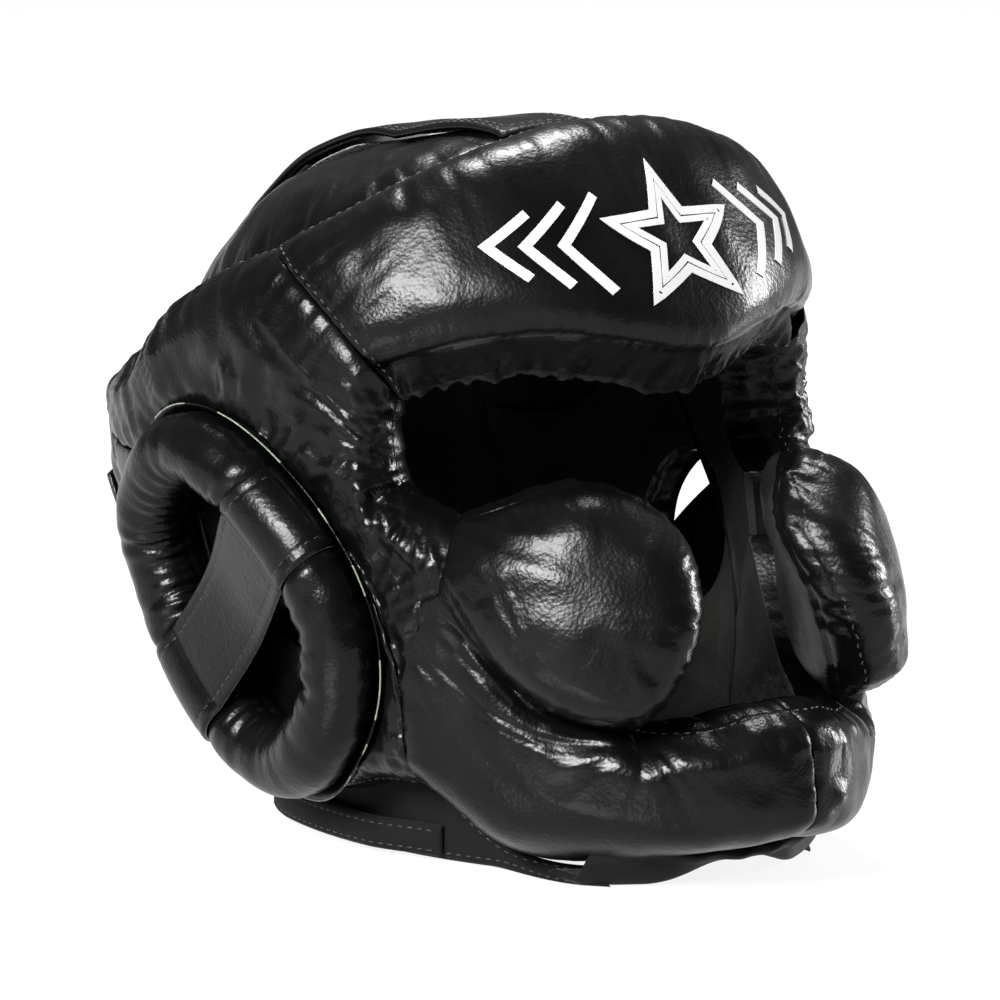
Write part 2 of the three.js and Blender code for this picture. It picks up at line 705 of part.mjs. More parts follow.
const COVER_ARC = 150;         // degrees the cover wraps down each side of the tube
const FOAM_FIT = 0.8;
const FOAM_ARC = 330;
const ringCover = [
  ...arc(RING_TUBE, -COVER_ARC, COVER_ARC, 9),
  ...arc(RING_TUBE - LEATHER, COVER_ARC, -COVER_ARC, 9),
];
const SKIRT_LEVEL = -(RING_TUBE + GAP + FLANGE);
const SKIRT_STEPS = [0, 1, 2, 3, 4].map((k) => (
  THREE.MathUtils.lerp(-FLANGE_IN, FLANGE_OUT, k / 4)));
const skirt = [
  ...SKIRT_STEPS.map((across) => [across, SKIRT_LEVEL]),
  ...SKIRT_STEPS.slice().reverse().map((across) => [across, SKIRT_LEVEL + FLANGE]),
];
const ringFoam = arc(RING_TUBE - LEATHER - FOAM_FIT, 0, FOAM_ARC, 9);

// Height of the ear strap over the ring at a distance from its centre line.
const STRAP_CLEAR = RING_TUBE + 0.9;
const STRAP_END = 78;          // degrees the strap runs down the ring's outer wall
const STRAP_LEAVE = 50;        // degrees down the inner wall where it leaves the ring
const STRAP_SAG = 6;
function earStrap(side) {
  const rows = [];
  const under = [];
  const lateral = 4;
  const steps = [];
  for (let k = 0; k <= 5; k += 1) steps.push({ wall: 1 - k / 5 });
  for (let k = 1; k < 4; k += 1) steps.push({ dip: k / 4 });
  for (let k = 0; k <= 5; k += 1) steps.push({ wall: k / 5, far: true });
  for (const s of steps) {
    const top = [];
    const bottom = [];
    for (let j = 0; j <= lateral; j += 1) {
      const q = (j / lateral - 0.5) * EAR_STRAP_WIDTH;
      const centre = RING_MINOR
        * (1 - (Math.abs(q) / RING_MAJOR) ** RING_SQUARE) ** (1 / RING_SQUARE);
      const place = (r) => {
        if (s.dip !== undefined) {
          const reach = centre - r * Math.sin(rad(STRAP_LEAVE));
          const level = r * Math.cos(rad(STRAP_LEAVE));
          const sag = STRAP_SAG * Math.sin(Math.PI * s.dip);
          return [THREE.MathUtils.lerp(-reach, reach, s.dip), level - sag];
        }
        const turn = rad(THREE.MathUtils.lerp(-STRAP_LEAVE, STRAP_END, s.wall));
        const p = centre + r * Math.sin(turn);
        return [s.far ? p : -p, r * Math.cos(turn)];
      };
      const [pt, ht] = place(STRAP_CLEAR + EAR_STRAP_THICK);
      const [pb, hb] = place(STRAP_CLEAR);
      top.push(onSide(side, pt, q, RING_LIFT + ht));
      bottom.push(onSide(side, pb, q, RING_LIFT + hb));
    }
    rows.push(top);
    under.push(bottom);
  }
  return slab(rows, under);
}

for (const [suffix, side] of SIDES) {
  add(`ear_ring_cover${suffix}`, ringSolid(side, ringCover, 28), 'leather');
  add(`ear_ring_foam${suffix}`, ringSolid(side, ringFoam, 28), 'foam');
  add(`ear_flange${suffix}`, ringSolid(side, skirt, 36), 'rawEdge');
  add(`ear_strap${suffix}`, earStrap(side), 'leather');
}

// ---- crown --------------------------------------------------------------
const CROWN_RISE_FRONT = 20;
const CROWN_RISE_BACK = 52;
const CROWN_ROLL = 70;
const CROWN_LINING = 2.4;
const CROWN_GAP = 2;
const CROWN_INSET = 0.8;
const CROWN_MIDDLE = 30;       // the rim is drawn in towards this Y on the centre plane
const RIM = [
  ...FOREHEAD_TOP.filter(([a]) => a >= 0),
  ...TEMPLE_TOP.slice(0, -1).reverse(),
  ...REAR_TOP.slice(0, 2),
];
const rimLevel = (a) => smooth(Math.abs(a), RIM.map((r) => r[0]), RIM.map((r) => r[1]));
function crownRim(from, to, steps) {
  const out = [];
  for (let i = 0; i <= steps; i += 1) {
    const a = THREE.MathUtils.lerp(from, to, i / steps);
    const p = inner(a, rimLevel(a));
    const middle = new THREE.Vector3(0, CROWN_MIDDLE, p.z);
    out.push(p.add(middle.sub(p).setLength(CROWN_INSET)));
  }
  return out;
}

function crownGrid(n) {
  const front = crownRim(-45, 45, n);
  const back = crownRim(225, 135, n);
  const right = crownRim(-45, -135, n);
  const left = crownRim(45, 135, n);
  const rim = [...front, ...left, ...back.slice().reverse(), ...right];
  const grid = [];
  for (let i = 0; i <= n; i += 1) {
    const u = i / n;
    const row = [];
    for (let j = 0; j <= n; j += 1) {
      const v = j / n;
      const p = new THREE.Vector3()
        .addScaledVector(front[i], 1 - v).addScaledVector(back[i], v)
        .addScaledVector(right[j], 1 - u).addScaledVector(left[j], u)
        .addScaledVector(front[0], -(1 - u) * (1 - v)).addScaledVector(front[n], -u * (1 - v))
        .addScaledVector(back[0], -(1 - u) * v).addScaledVector(back[n], -u * v);
      const d = Math.min(...rim.map((r) => r.distanceTo(p)));
      p.z += THREE.MathUtils.lerp(CROWN_RISE_FRONT, CROWN_RISE_BACK, v) * rise(d / CROWN_ROLL);
      row.push(p);
    }
    grid.push(row);
  }
  return grid;
}

// Offsets a grid along its own normals.
function offset(grid, h) {
  const n = grid.length - 1;
  const m = grid[0].length - 1;
  return grid.map((row, i) => row.map((p, j) => {
    const du = grid[Math.min(i + 1, n)][j].clone().sub(grid[Math.max(i - 1, 0)][j]);
    const dv = grid[i][Math.min(j + 1, m)].clone().sub(grid[i][Math.max(j - 1, 0)]);
    const up = du.cross(dv).normalize();
    return p.clone().addScaledVector(up.z < 0 ? up.negate() : up, h);
  }));
}

const CROWN_STEPS = 12;
const crown = crownGrid(CROWN_STEPS);
const crownBack = offset(crown, -LEATHER - CROWN_GAP);
add('crown_cover', slab(crown, offset(crown, -LEATHER)), 'leather');
add('crown_lining', slab(crownBack, offset(crownBack, -CROWN_LINING)), 'lining');

// Height of the crown's outer face on the centre plane.
const crownTop = crown[CROWN_STEPS / 2];
const crownHeight = (y) => smooth(y, crownTop.map((p) => p.y), crownTop.map((p) => p.z));
const STRAP_ROUND = 0.88;      // a strap's end starts to round off here
function crownStrip(from, to, half, steps, low, high, endRound) {
  const build = (h) => {
    const grid = [];
    for (let i = 0; i <= steps; i += 1) {
      const u = i / steps;
      const y = THREE.MathUtils.lerp(from, to, u);
      const slope = (crownHeight(y + 1) - crownHeight(y - 1)) / 2;
      const up = new THREE.Vector3(0, -slope, 1).normalize();
      const t = Math.max((u - STRAP_ROUND) / (1 - STRAP_ROUND), 0);
      const w = endRound ? half * (1 - 0.4 * (1 - Math.sqrt(1 - t * t))) : half;
      grid.push([-1, 0, 1].map((v) => new THREE.Vector3(v * w, y, crownHeight(y))
        .addScaledVector(up, h)));
    }
    return grid;
  };
  return slab(build(high), build(low));
}
const CROWN_REST = 0.5;
const CROWN_HOOK = CROWN_REST + PATCH + GAP;
const CROWN_STRAP = CROWN_HOOK + PATCH + GAP;
add('crown_strap', crownStrip(-22, 124, 19, 14, CROWN_STRAP, CROWN_STRAP + WEBBING, true),
  'webbing');
add('crown_loop_patch', crownStrip(58, 112, 16, 6, CROWN_REST, CROWN_REST + PATCH), 'loop');
add('crown_hook_patch', crownStrip(84, 116, 16, 4, CROWN_HOOK, CROWN_HOOK + PATCH), 'hook');

export default headgear;
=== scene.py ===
import math
import bpy
import numpy as np
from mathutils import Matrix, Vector


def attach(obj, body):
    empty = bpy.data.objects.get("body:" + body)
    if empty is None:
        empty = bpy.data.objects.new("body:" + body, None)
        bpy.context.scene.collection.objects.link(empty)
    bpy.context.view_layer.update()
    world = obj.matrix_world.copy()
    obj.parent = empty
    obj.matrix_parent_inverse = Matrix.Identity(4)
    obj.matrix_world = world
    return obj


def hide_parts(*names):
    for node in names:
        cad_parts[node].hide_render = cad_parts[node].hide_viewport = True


# Leather boxing headgear: every pad is a cover with its own folds, puckers, seams and
# stitching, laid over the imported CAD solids. Shapes are worked out in millimetres on the
# same head form as the CAD and written in metres.

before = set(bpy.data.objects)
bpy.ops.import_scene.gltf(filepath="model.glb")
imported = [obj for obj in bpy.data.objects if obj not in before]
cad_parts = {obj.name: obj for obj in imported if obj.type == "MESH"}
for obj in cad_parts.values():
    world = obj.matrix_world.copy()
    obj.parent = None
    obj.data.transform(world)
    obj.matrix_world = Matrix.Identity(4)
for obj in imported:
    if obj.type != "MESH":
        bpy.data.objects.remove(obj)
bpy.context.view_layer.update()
FINE = 10         # grid steps per CAD step
MM = 0.001
SHIFT = -107.5                    # from the head form's depth to the frame's Y

# ---- head form ------------------------------------------------------------
# height, front, back, half width, front exponent | lining height, front, back, half width
SECTIONS = np.array([
    [0, 0, 205, 68, 1.8, 4, 28, 188, 44],
    [18, -44, 218, 82, 1.75, 18, -18, 198, 56],
    [40, -48, 232, 91, 1.75, 40, -22, 211, 63],
    [85, -38, 252, 99, 1.8, 85, -11, 230, 70],
    [112, -20, 262, 103, 1.9, 111, 7, 240, 73],
    [165, 1, 264, 105, 2.1, 159, 33, 240, 74],
    [205, 26, 238, 94, 2.2, 193, 55, 214, 66],
    [235, 52, 200, 72, 2.2, 217, 78, 180, 47],
    [252, 88, 160, 40, 2.2, 229, 104, 150, 22]], float)
HEIGHTS = SECTIONS[:, 0]
BACK_EXPONENT = 2.1


def smooth(x, xs, ys):
    """Smooth curve through (xs, ys) that keeps to the given heights."""
    x, xs, ys = np.asarray(x, float), np.asarray(xs, float), np.asarray(ys, float)
    t = np.clip(x, xs[0], xs[-1])
    k = np.clip(np.searchsorted(xs, t, side="left") - 1, 0, len(xs) - 2)
    lo = np.maximum(np.arange(len(xs)) - 1, 0)
    hi = np.minimum(np.arange(len(xs)) + 1, len(xs) - 1)
    slope = (ys[hi] - ys[lo]) / (xs[hi] - xs[lo])
    h = xs[k + 1] - xs[k]
    u = (t - xs[k]) / h
    u2, u3 = u * u, u * u * u
    return ((2 * u3 - 3 * u2 + 1) * ys[k] + (u3 - 2 * u2 + u) * h * slope[k]
            + (3 * u2 - 2 * u3) * ys[k + 1] + (u3 - u2) * h * slope[k + 1])


def section(angle, level, cols, z):
    front, back, half = (smooth(level, HEIGHTS, SECTIONS[:, c]) for c in cols)
    middle = (front + back) / 2
    a = np.radians(angle)
    s, c = np.sin(a), np.cos(a)
    n = np.where(c > 0, smooth(level, HEIGHTS, SECTIONS[:, 4]), BACK_EXPONENT)
    reach = np.where(c > 0, middle - front, back - middle)
    r = (np.abs(s / half) ** n + np.abs(c / reach) ** n) ** (-1 / n)
    return np.stack([r * s, middle - r * c + SHIFT, z + 0 * r], -1)


def outer(angle, level):
    return section(angle, level, (1, 2, 3), np.asarray(level, float))


def inner(angle, level):
    return section(angle, level, (6, 7, 8), smooth(level, HEIGHTS, SECTIONS[:, 5]))


def unit(v):
    return v / np.maximum(np.linalg.norm(v, axis=-1, keepdims=True), 1e-9)


def thickness(angle, level):
    return np.linalg.norm(outer(angle, level) - inner(angle, level), axis=-1)


def layered(angle, level, h):
    base = inner(angle, level)
    return base + unit(outer(angle, level) - base) * np.asarray(h)[..., None]


def outward(angle, level):
    du = outer(angle + 0.5, level) - outer(angle - 0.5, level)
    dv = outer(angle, level + 0.5) - outer(angle, level - 0.5)
    return unit(np.cross(du, dv))


def rise(x):
    return np.sqrt(1 - (1 - np.minimum(x, 1)) ** 2)


def spline(via, steps):
    """Catmull-Rom points through via, steps + 1 of them."""
    via = np.asarray(via, float)
    n = len(via) - 1
    t = np.linspace(0, 1, steps + 1) * n
    k = np.minimum(t.astype(int), n)
    w = (t - k)[:, None]

    def at(i):
        return via[np.clip(i, 0, n)]

    p0, p1 = at(np.where(k == 0, k, k - 1)), at(k)
    p2, p3 = at(np.where(k > n - 1, n, k + 1)), at(np.where(k > n - 2, n, k + 2))
    v0, v1 = (p2 - p0) / 2, (p3 - p1) / 2
    return ((2 * p1 - 2 * p2 + v0 + v1) * w ** 3
            + (-3 * p1 + 3 * p2 - 2 * v0 - v1) * w ** 2 + v0 * w + p1)


# ---- noise -----------------------------------------------------------------
def noise3(p, scale, seed):
    """Smooth noise of about unit size over points p, one bump per scale."""
    q = np.asarray(p) / scale + 100.0
    base = np.floor(q).astype(int)
    f = q - base
    f = f * f * f * (f * (f * 6 - 15) + 10)
    table = np.random.default_rng(seed).standard_normal(4096)
    total = np.zeros(q.shape[:-1])
    for i in (0, 1):
        for j in (0, 1):
            for k in (0, 1):
                key = ((base[..., 0] + i) * 73856093 ^ (base[..., 1] + j) * 19349663
                       ^ (base[..., 2] + k) * 83492791) % 4096
                w = (np.where(i, f[..., 0], 1 - f[..., 0]) * np.where(j, f[..., 1], 1 - f[..., 1])
                     * np.where(k, f[..., 2], 1 - f[..., 2]))
                total += w * table[key]
    return total


# ---- meshes ----------------------------------------------------------------
MATERIALS = {}


class Build:
    """Collects grids and small solids, in millimetres, into one mesh."""

    def __init__(self):
        self.points, self.faces, self.mats, self.uv = [], [], [], []
        self.count = 0

    def add(self, pts, faces, mat=0, uv=None):
        pts = np.asarray(pts, float).reshape(-1, 3)
        base = self.count
        self.points.append(pts)
        self.uv.append(np.zeros((len(pts), 2)) if uv is None else np.asarray(uv).reshape(-1, 2))
        self.faces.extend([[base + i for i in f] for f in faces])
        self.mats.extend([mat] * len(faces) if np.isscalar(mat) else list(mat))
        self.count += len(pts)

    def object(self, name, mats):
        me = bpy.data.meshes.new(name)
        me.from_pydata((np.concatenate(self.points) * MM).tolist(), [], self.faces)
        for m in mats:
            me.materials.append(MATERIALS[m])
        me.polygons.foreach_set("material_index", np.asarray(self.mats, np.int32))
        layer = me.uv_layers.new(name="UVMap")
        loops = np.empty(len(me.loops), np.int32)
        me.loops.foreach_get("vertex_index", loops)
        layer.data.foreach_set("uv", np.concatenate(self.uv).astype(np.float32)[loops].ravel())
        me.polygons.foreach_set("use_smooth", [True] * len(me.polygons))
        me.update()
        ob = bpy.data.objects.new(name, me)
        bpy.context.scene.collection.objects.link(ob)
        return ob


def grid_faces(nu, nv, flip=False, wrap_u=False, wrap_v=False, keep=None):
    out = []
    for i in range(nu if wrap_u else nu - 1):
        for j in range(nv if wrap_v else nv - 1):
            if keep is not None and not keep[i, j]:
                continue
            a, b = i * nv + j, ((i + 1) % nu) * nv + j
            c, d = ((i + 1) % nu) * nv + (j + 1) % nv, i * nv + (j + 1) % nv
            out.append([a, d, c, b] if flip else [a, b, c, d])
    return out


def rim(nu, nv):
    """Row and column numbers of the points round a grid's outline."""
    rows = np.r_[0:nu - 1, np.full(nv - 1, nu - 1), nu - 1:0:-1, np.zeros(nv - 1, int)]
    cols = np.r_[np.zeros(nu - 1, int), 0:nv - 1, np.full(nu - 1, nv - 1), nv - 1:0:-1]
    return rows, cols


def across_at(s, values, at):
    """Values read off at one place along a line, where s is the length so far."""
    return [np.interp(at, s, values[:, k]) for k in range(values.shape[1])]


def along(line):
    """Arc length at each point of a polyline."""
    step = np.linalg.norm(np.diff(line, axis=0), axis=1)
    return np.concatenate([[0], np.cumsum(step)])


def resample(line, at):
    """Points of a polyline at the given arc lengths."""
    return np.stack(across_at(along(line), line, at), -1)


def stitches(build, line, normal, mat, length=2.2, gap=1.5, radius=0.3, sink=0.1):
    """Thread stitches along a line that lies on a surface."""
    s = along(line)
    if s[-1] < 8:
        return
    count = int(s[-1] / (length + gap))
    pad = (s[-1] - count * (length + gap) + gap) / 2
    ring = [(math.cos(t), math.sin(t)) for t in np.linspace(0, 2 * math.pi, 6)[:-1]]
    for k in range(count):
        a = pad + k * (length + gap)
        at = a + np.array([0, 0.12, 0.5, 0.88, 1]) * length
        mid = resample(line, at)
        nrm = unit(resample(np.concatenate([line, normal], 1), at)[:, 3:])
        tan = unit(mid[-1] - mid[0])[None, :].repeat(5, 0)
        side = unit(np.cross(tan, nrm))
        size = np.array([0.35, 0.85, 1.0, 0.85, 0.35]) * radius
        lift = np.array([-0.45, 0.05, 0.25, 0.05, -0.45]) * radius - sink
        pts = []
        for m in range(5):
            for c, w in ring:
                pts.append(mid[m] + nrm[m] * (lift[m] + w * size[m]) + side[m] * c * size[m])
        faces = grid_faces(5, 5, wrap_v=True) + [[0, 1, 2, 3, 4], [24, 23, 22, 21, 20]]
        build.add(pts, faces, mat)


def normals_of(grid, wrap=(False, False)):
    du = (np.roll(grid, -1, 0) - np.roll(grid, 1, 0)) if wrap[0] else np.gradient(grid, axis=0)
    dv = (np.roll(grid, -1, 1) - np.roll(grid, 1, 1)) if wrap[1] else np.gradient(grid, axis=1)
    return unit(np.cross(du, dv))


# ---- ear ring places ---------------------------------------------------------
RING_TUBE, RING_MAJOR, RING_MINOR = 12.5, 51.5, 41.0
RING_Y, RING_Z, RING_SQUARE = 121, 78.0, 2.3
LEAN = math.radians(46)
BOWL_DEPTH, BOWL_FOOT, BOWL_CORNER = 14.2, 10.3, 10.5


def oval(t):
    power = lambda x: np.sign(x) * np.abs(x) ** (2 / RING_SQUARE)
    p, q = RING_MINOR * power(np.cos(t)), RING_MAJOR * power(np.sin(t))
    slope = lambda x, half: np.sign(x) * np.abs(x / half) ** (RING_SQUARE - 1) / half
    return p, q, unit(np.stack([slope(p, RING_MINOR), slope(q, RING_MAJOR)], -1))


def across_ring(points):
    """How far out from the ring's centre line a point on the side lies."""
    y, z = points[..., 1] - RING_Y - SHIFT, points[..., 2] - RING_Z
    p = y * math.cos(LEAN) - z * math.sin(LEAN)
    q = y * math.sin(LEAN) + z * math.cos(LEAN)
    line = np.stack(oval(np.linspace(0, 2 * math.pi, 241))[:2], -1)
    d, _ = foot(np.stack([p, q], -1).reshape(-1, 2), line)
    rho = np.abs(p / RING_MINOR) ** RING_SQUARE + np.abs(q / RING_MAJOR) ** RING_SQUARE
    return np.where(rho.ravel() > 1, d, -d).reshape(y.shape)


def bowl_depth(across):
    """How far the panel sinks below its outer surface to take the ring."""
    return BOWL_DEPTH * (1 - rise(np.clip((across - BOWL_FOOT) / BOWL_CORNER, 0, 1)))


def angle_at(y, z):
    """The angle on the side where the head form's outer surface passes y at height z."""
    low, high = np.full_like(y, 20.0), np.full_like(y, 160.0)
    for _ in range(36):
        mid = (low + high) / 2
        less = outer(mid, z)[..., 1] < y
        low, high = np.where(less, mid, low), np.where(less, high, mid)
    return low


# ---- pads ------------------------------------------------------------------
class Edge:
    """One stretch of a pad's outline.

    steps: CAD steps; drop: share of the thickness given up at it; roll: how far in that
    reaches; fade: how far in the bulge fades; tight: sewn flush, with no gap;
    pucker, reach, step: depth, length and spacing of its puckers; gather, crimp: height and
    spacing of its gathers; sweep: depth of long folds; taper: the drop grows along it;
    under: width of a gathered underside."""

    def __init__(self, steps, drop, roll, via, fade=0, pucker=0.6, reach=10, step=7,
                 stitch=True, gather=0.0, taper=False, sweep=0.0, under=0.0, tight=False,
                 crimp=3.2):
        self.steps, self.drop, self.roll, self.fade = steps, drop, roll, fade
        self.via = np.asarray(via, float)
        self.pucker, self.reach, self.step = pucker, reach, step
        self.stitch, self.gather = stitch, gather
        self.taper, self.sweep, self.under, self.crimp = taper, sweep, under, crimp
        self.tight = tight or drop == 0


def free(steps, drop, roll, via, **k):
    """An edge that ends in the open: rolled down to the lining and puckered."""
    return Edge(steps, drop, roll, via, **{"pucker": 1.3, "reach": 13, "step": 6, **k})


def soft(steps, via, **k):
    """A seam between two pads."""
    return Edge(steps, 0.05, 6, via, **k)


def flush(steps, via, **k):
    """An edge that runs on smoothly into the next pad."""
    return Edge(steps, 0.0, 6, via, pucker=0, stitch=False, **k)


def chain(edges):
    out = []
    for k, e in enumerate(edges):
        pts = spline(e.via, e.steps * FINE)
        out.append(pts if k == 0 else pts[1:])
    return np.concatenate(out)


def coons(b, t, l, r):
    """Grid between a bottom, a top, a left and a right line."""
    nu, nv = len(b), len(l)
    u = np.linspace(0, 1, nu)[:, None, None]
    v = np.linspace(0, 1, nv)[None, :, None]
    return ((1 - v) * b[:, None] + v * t[:, None] + (1 - u) * l[None] + u * r[None]
            - (1 - u) * (1 - v) * b[0] - u * (1 - v) * b[-1] - (1 - u) * v * t[0] - u * v * t[-1])


def foot(points, line):
    """Distance from each point to a polyline, and the arc length of the nearest place."""
    a, b = line[:-1], line[1:]
    ab = b - a
    s = along(line)
    best = np.full(len(points), 1e9)
    where = np.zeros(len(points))
    for k in range(len(a)):
        t = np.clip((points - a[k]) @ ab[k] / max(ab[k] @ ab[k], 1e-9), 0, 1)
        d = np.linalg.norm(points - (a[k] + t[:, None] * ab[k]), axis=1)
        m = d < best
        best[m] = d[m]
        where[m] = s[k] + t[m] * (s[k + 1] - s[k])
    return best, where


def puckers(d, s, length, amp, reach, step, seed):
    """Grooves that run in from an edge: d is the distance from it, s the place along it."""
    rng = np.random.default_rng(seed)
    total = np.zeros_like(d)
    at = rng.uniform(0, step)
    while at < length:
        size = amp * rng.uniform(0.45, 1.25)
        run = reach * rng.uniform(0.5, 1.7)
        slant = rng.normal(0, 0.22)
        wide = step * rng.uniform(0.17, 0.26)
        w = wide * (1 + 0.9 * d / reach)
        x = (s - at - slant * d) / w
        total -= size * np.exp(-x * x / 2) * np.exp(-(d / run) ** 1.6)
        at += step * rng.uniform(0.65, 1.4)
    return total


def gathers(d, s, amp, reach, step, seed):
    """Gathered leather beside an edge: long ridges that run in from it and fade out."""
    p = np.stack([s / step, d / (reach * 1.1), 0 * s + seed], -1)
    fine = noise3(p, 1.0, seed) + 0.45 * noise3(p * [2.3, 1.5, 1], 1.0, seed + 1)
    ridge = 0.35 - np.abs(fine)
    return amp * ridge * np.exp(-(d / reach) ** 1.7)


def swept(d, s, length, amp, seed):
    """Long folds beside an edge that draw together towards its far end."""
    f = np.clip(s / length, 0, 1)
    total = np.zeros_like(d)
    for k in range(6):
        centre = (2.2 + 4.4 * k) * (1.15 - 0.95 * f)
        centre = centre + 1.3 * noise3(np.stack([s, 0 * s + 9 * k, 0 * s], -1), 16, seed) * (1 - f)
        wide = 1.5 * (1.15 - 0.6 * f)
        shown = np.clip(f * 6, 0, 1) * (0.55 + 0.45 * math.cos(1.9 * k)) * (1.1 - 0.13 * k)
        total -= amp * shown * np.exp(-((d - centre) / wide) ** 2)
    return total


def star(points, centre, reach, amp, count, seed):
    """Puckers that run out from one point where edges meet."""
    mid = outer(*centre)
    rel = points - mid
    n = outward(*centre)
    across = unit(np.cross([0, 0, 1], n))
    up = np.cross(n, across)
    r = np.linalg.norm(rel, axis=-1)
    t = np.arctan2(rel @ up, rel @ across)
    wave = noise3(np.stack([np.cos(t) * count, np.sin(t) * count, r / reach], -1), 1.0, seed)
    return amp * (0.3 - np.abs(wave)) * np.exp(-(r / reach) ** 1.5) * np.clip(r / 5, 0, 1)


CLOTH = {"quality": 6, "mass": 0.3, "tension_stiffness": 25, "compression_stiffness": 25,
         "shear_stiffness": 12, "bending_stiffness": 0.6, "tension_damping": 20,
         "compression_damping": 20, "bending_damping": 1, "air_damping": 3,
         "vertex_group_mass": "hold", "pin_stiffness": 1}
CLOTH_FRAMES = 20
CLOTH_SCALE = 10                  # the sheet is simulated at ten times its size
HIGHEST_FOLD = 2.5


def settle(top, strength, seed):
    """Lets a sheet with spare leather buckle over its padding: a cloth simulation on a
    coarse copy of the surface, held softly in place. Returns the height it adds."""
    nu, nv = top.shape[:2]
    cu, cv = max(int((nu - 1) / (FINE * 0.75)), 6), max(int((nv - 1) / (FINE * 0.75)), 6)
    fu, fv = np.linspace(0, nu - 1, cu + 1), np.linspace(0, nv - 1, cv + 1)
    lo = top[np.round(fu).astype(int)][:, np.round(fv).astype(int)]
    rng = np.random.default_rng(seed)
    normal = normals_of(lo)
    start = lo + normal * rng.normal(0, 0.25, lo.shape[:2])[..., None]
    me = bpy.data.meshes.new("settling")
    me.from_pydata((start.reshape(-1, 3) * MM * CLOTH_SCALE).tolist(), [], grid_faces(cu + 1, cv + 1))
    ob = bpy.data.objects.new("settling", me)
    bpy.context.scene.collection.objects.link(ob)
    rim = np.zeros((cu + 1, cv + 1), bool)
    rim[[0, -1], :] = True
    rim[:, [0, -1]] = True
    group = ob.vertex_groups.new(name="hold")
    idx = np.arange((cu + 1) * (cv + 1)).reshape(cu + 1, cv + 1)
    group.add(idx[rim].tolist(), 1.0, "REPLACE")
    group.add(idx[~rim].tolist(), 0.035, "REPLACE")
    mod = ob.modifiers.new("cloth", "CLOTH")
    spare = -0.05 * strength
    for key, value in {**CLOTH, "shrink_min": spare, "shrink_max": spare}.items():
        setattr(mod.settings, key, value)
    mod.settings.effector_weights.gravity = 0
    mod.collision_settings.use_collision = False
    mod.collision_settings.use_self_collision = False
    mod.point_cache.frame_start, mod.point_cache.frame_end = 1, CLOTH_FRAMES
    scene = bpy.context.scene
    for f in range(1, CLOTH_FRAMES + 1):
        scene.frame_set(f)
    ev = ob.evaluated_get(bpy.context.evaluated_depsgraph_get())
    co = np.empty(len(me.vertices) * 3, np.float32)
    ev.data.vertices.foreach_get("co", co)
    moved = co.reshape(cu + 1, cv + 1, 3).astype(float) / MM / CLOTH_SCALE
    scene.frame_set(1)
    bpy.data.objects.remove(ob)
    bpy.data.meshes.remove(me)
    h = ((moved - lo) * normal).sum(-1)
    h = np.clip(h - h[1:-1, 1:-1].mean(), -HIGHEST_FOLD, HIGHEST_FOLD)
    h[rim] = 0
    rows = np.stack([smooth(np.arange(nu), fu, h[:, j]) for j in range(cv + 1)], 1)
    return np.stack([smooth(np.arange(nv), fv, rows[i]) for i in range(nu)], 0)


STITCH_IN = 2.2                   # from an edge to its row of stitches
UNDER_DROP = 0.40                 # thickness given up across a gathered underside
SEAM_GAP = 0.25                   # an edge that is not sewn flush is drawn in by this
THINNEST = 8.5                    # a pad is nowhere thinner
LINING_BACK = 2.6                 # from the inner surface to the back of the lining
QUILT = 0.5
# where the points of each side lie in a pad's grid, and the points beside them
SIDE_POINTS = {"bottom": (np.s_[:, 0], np.s_[:, 1]), "top": (np.s_[:, -1], np.s_[:, -2]),
               "left": (np.s_[0], np.s_[1]), "right": (np.s_[-1], np.s_[-2])}


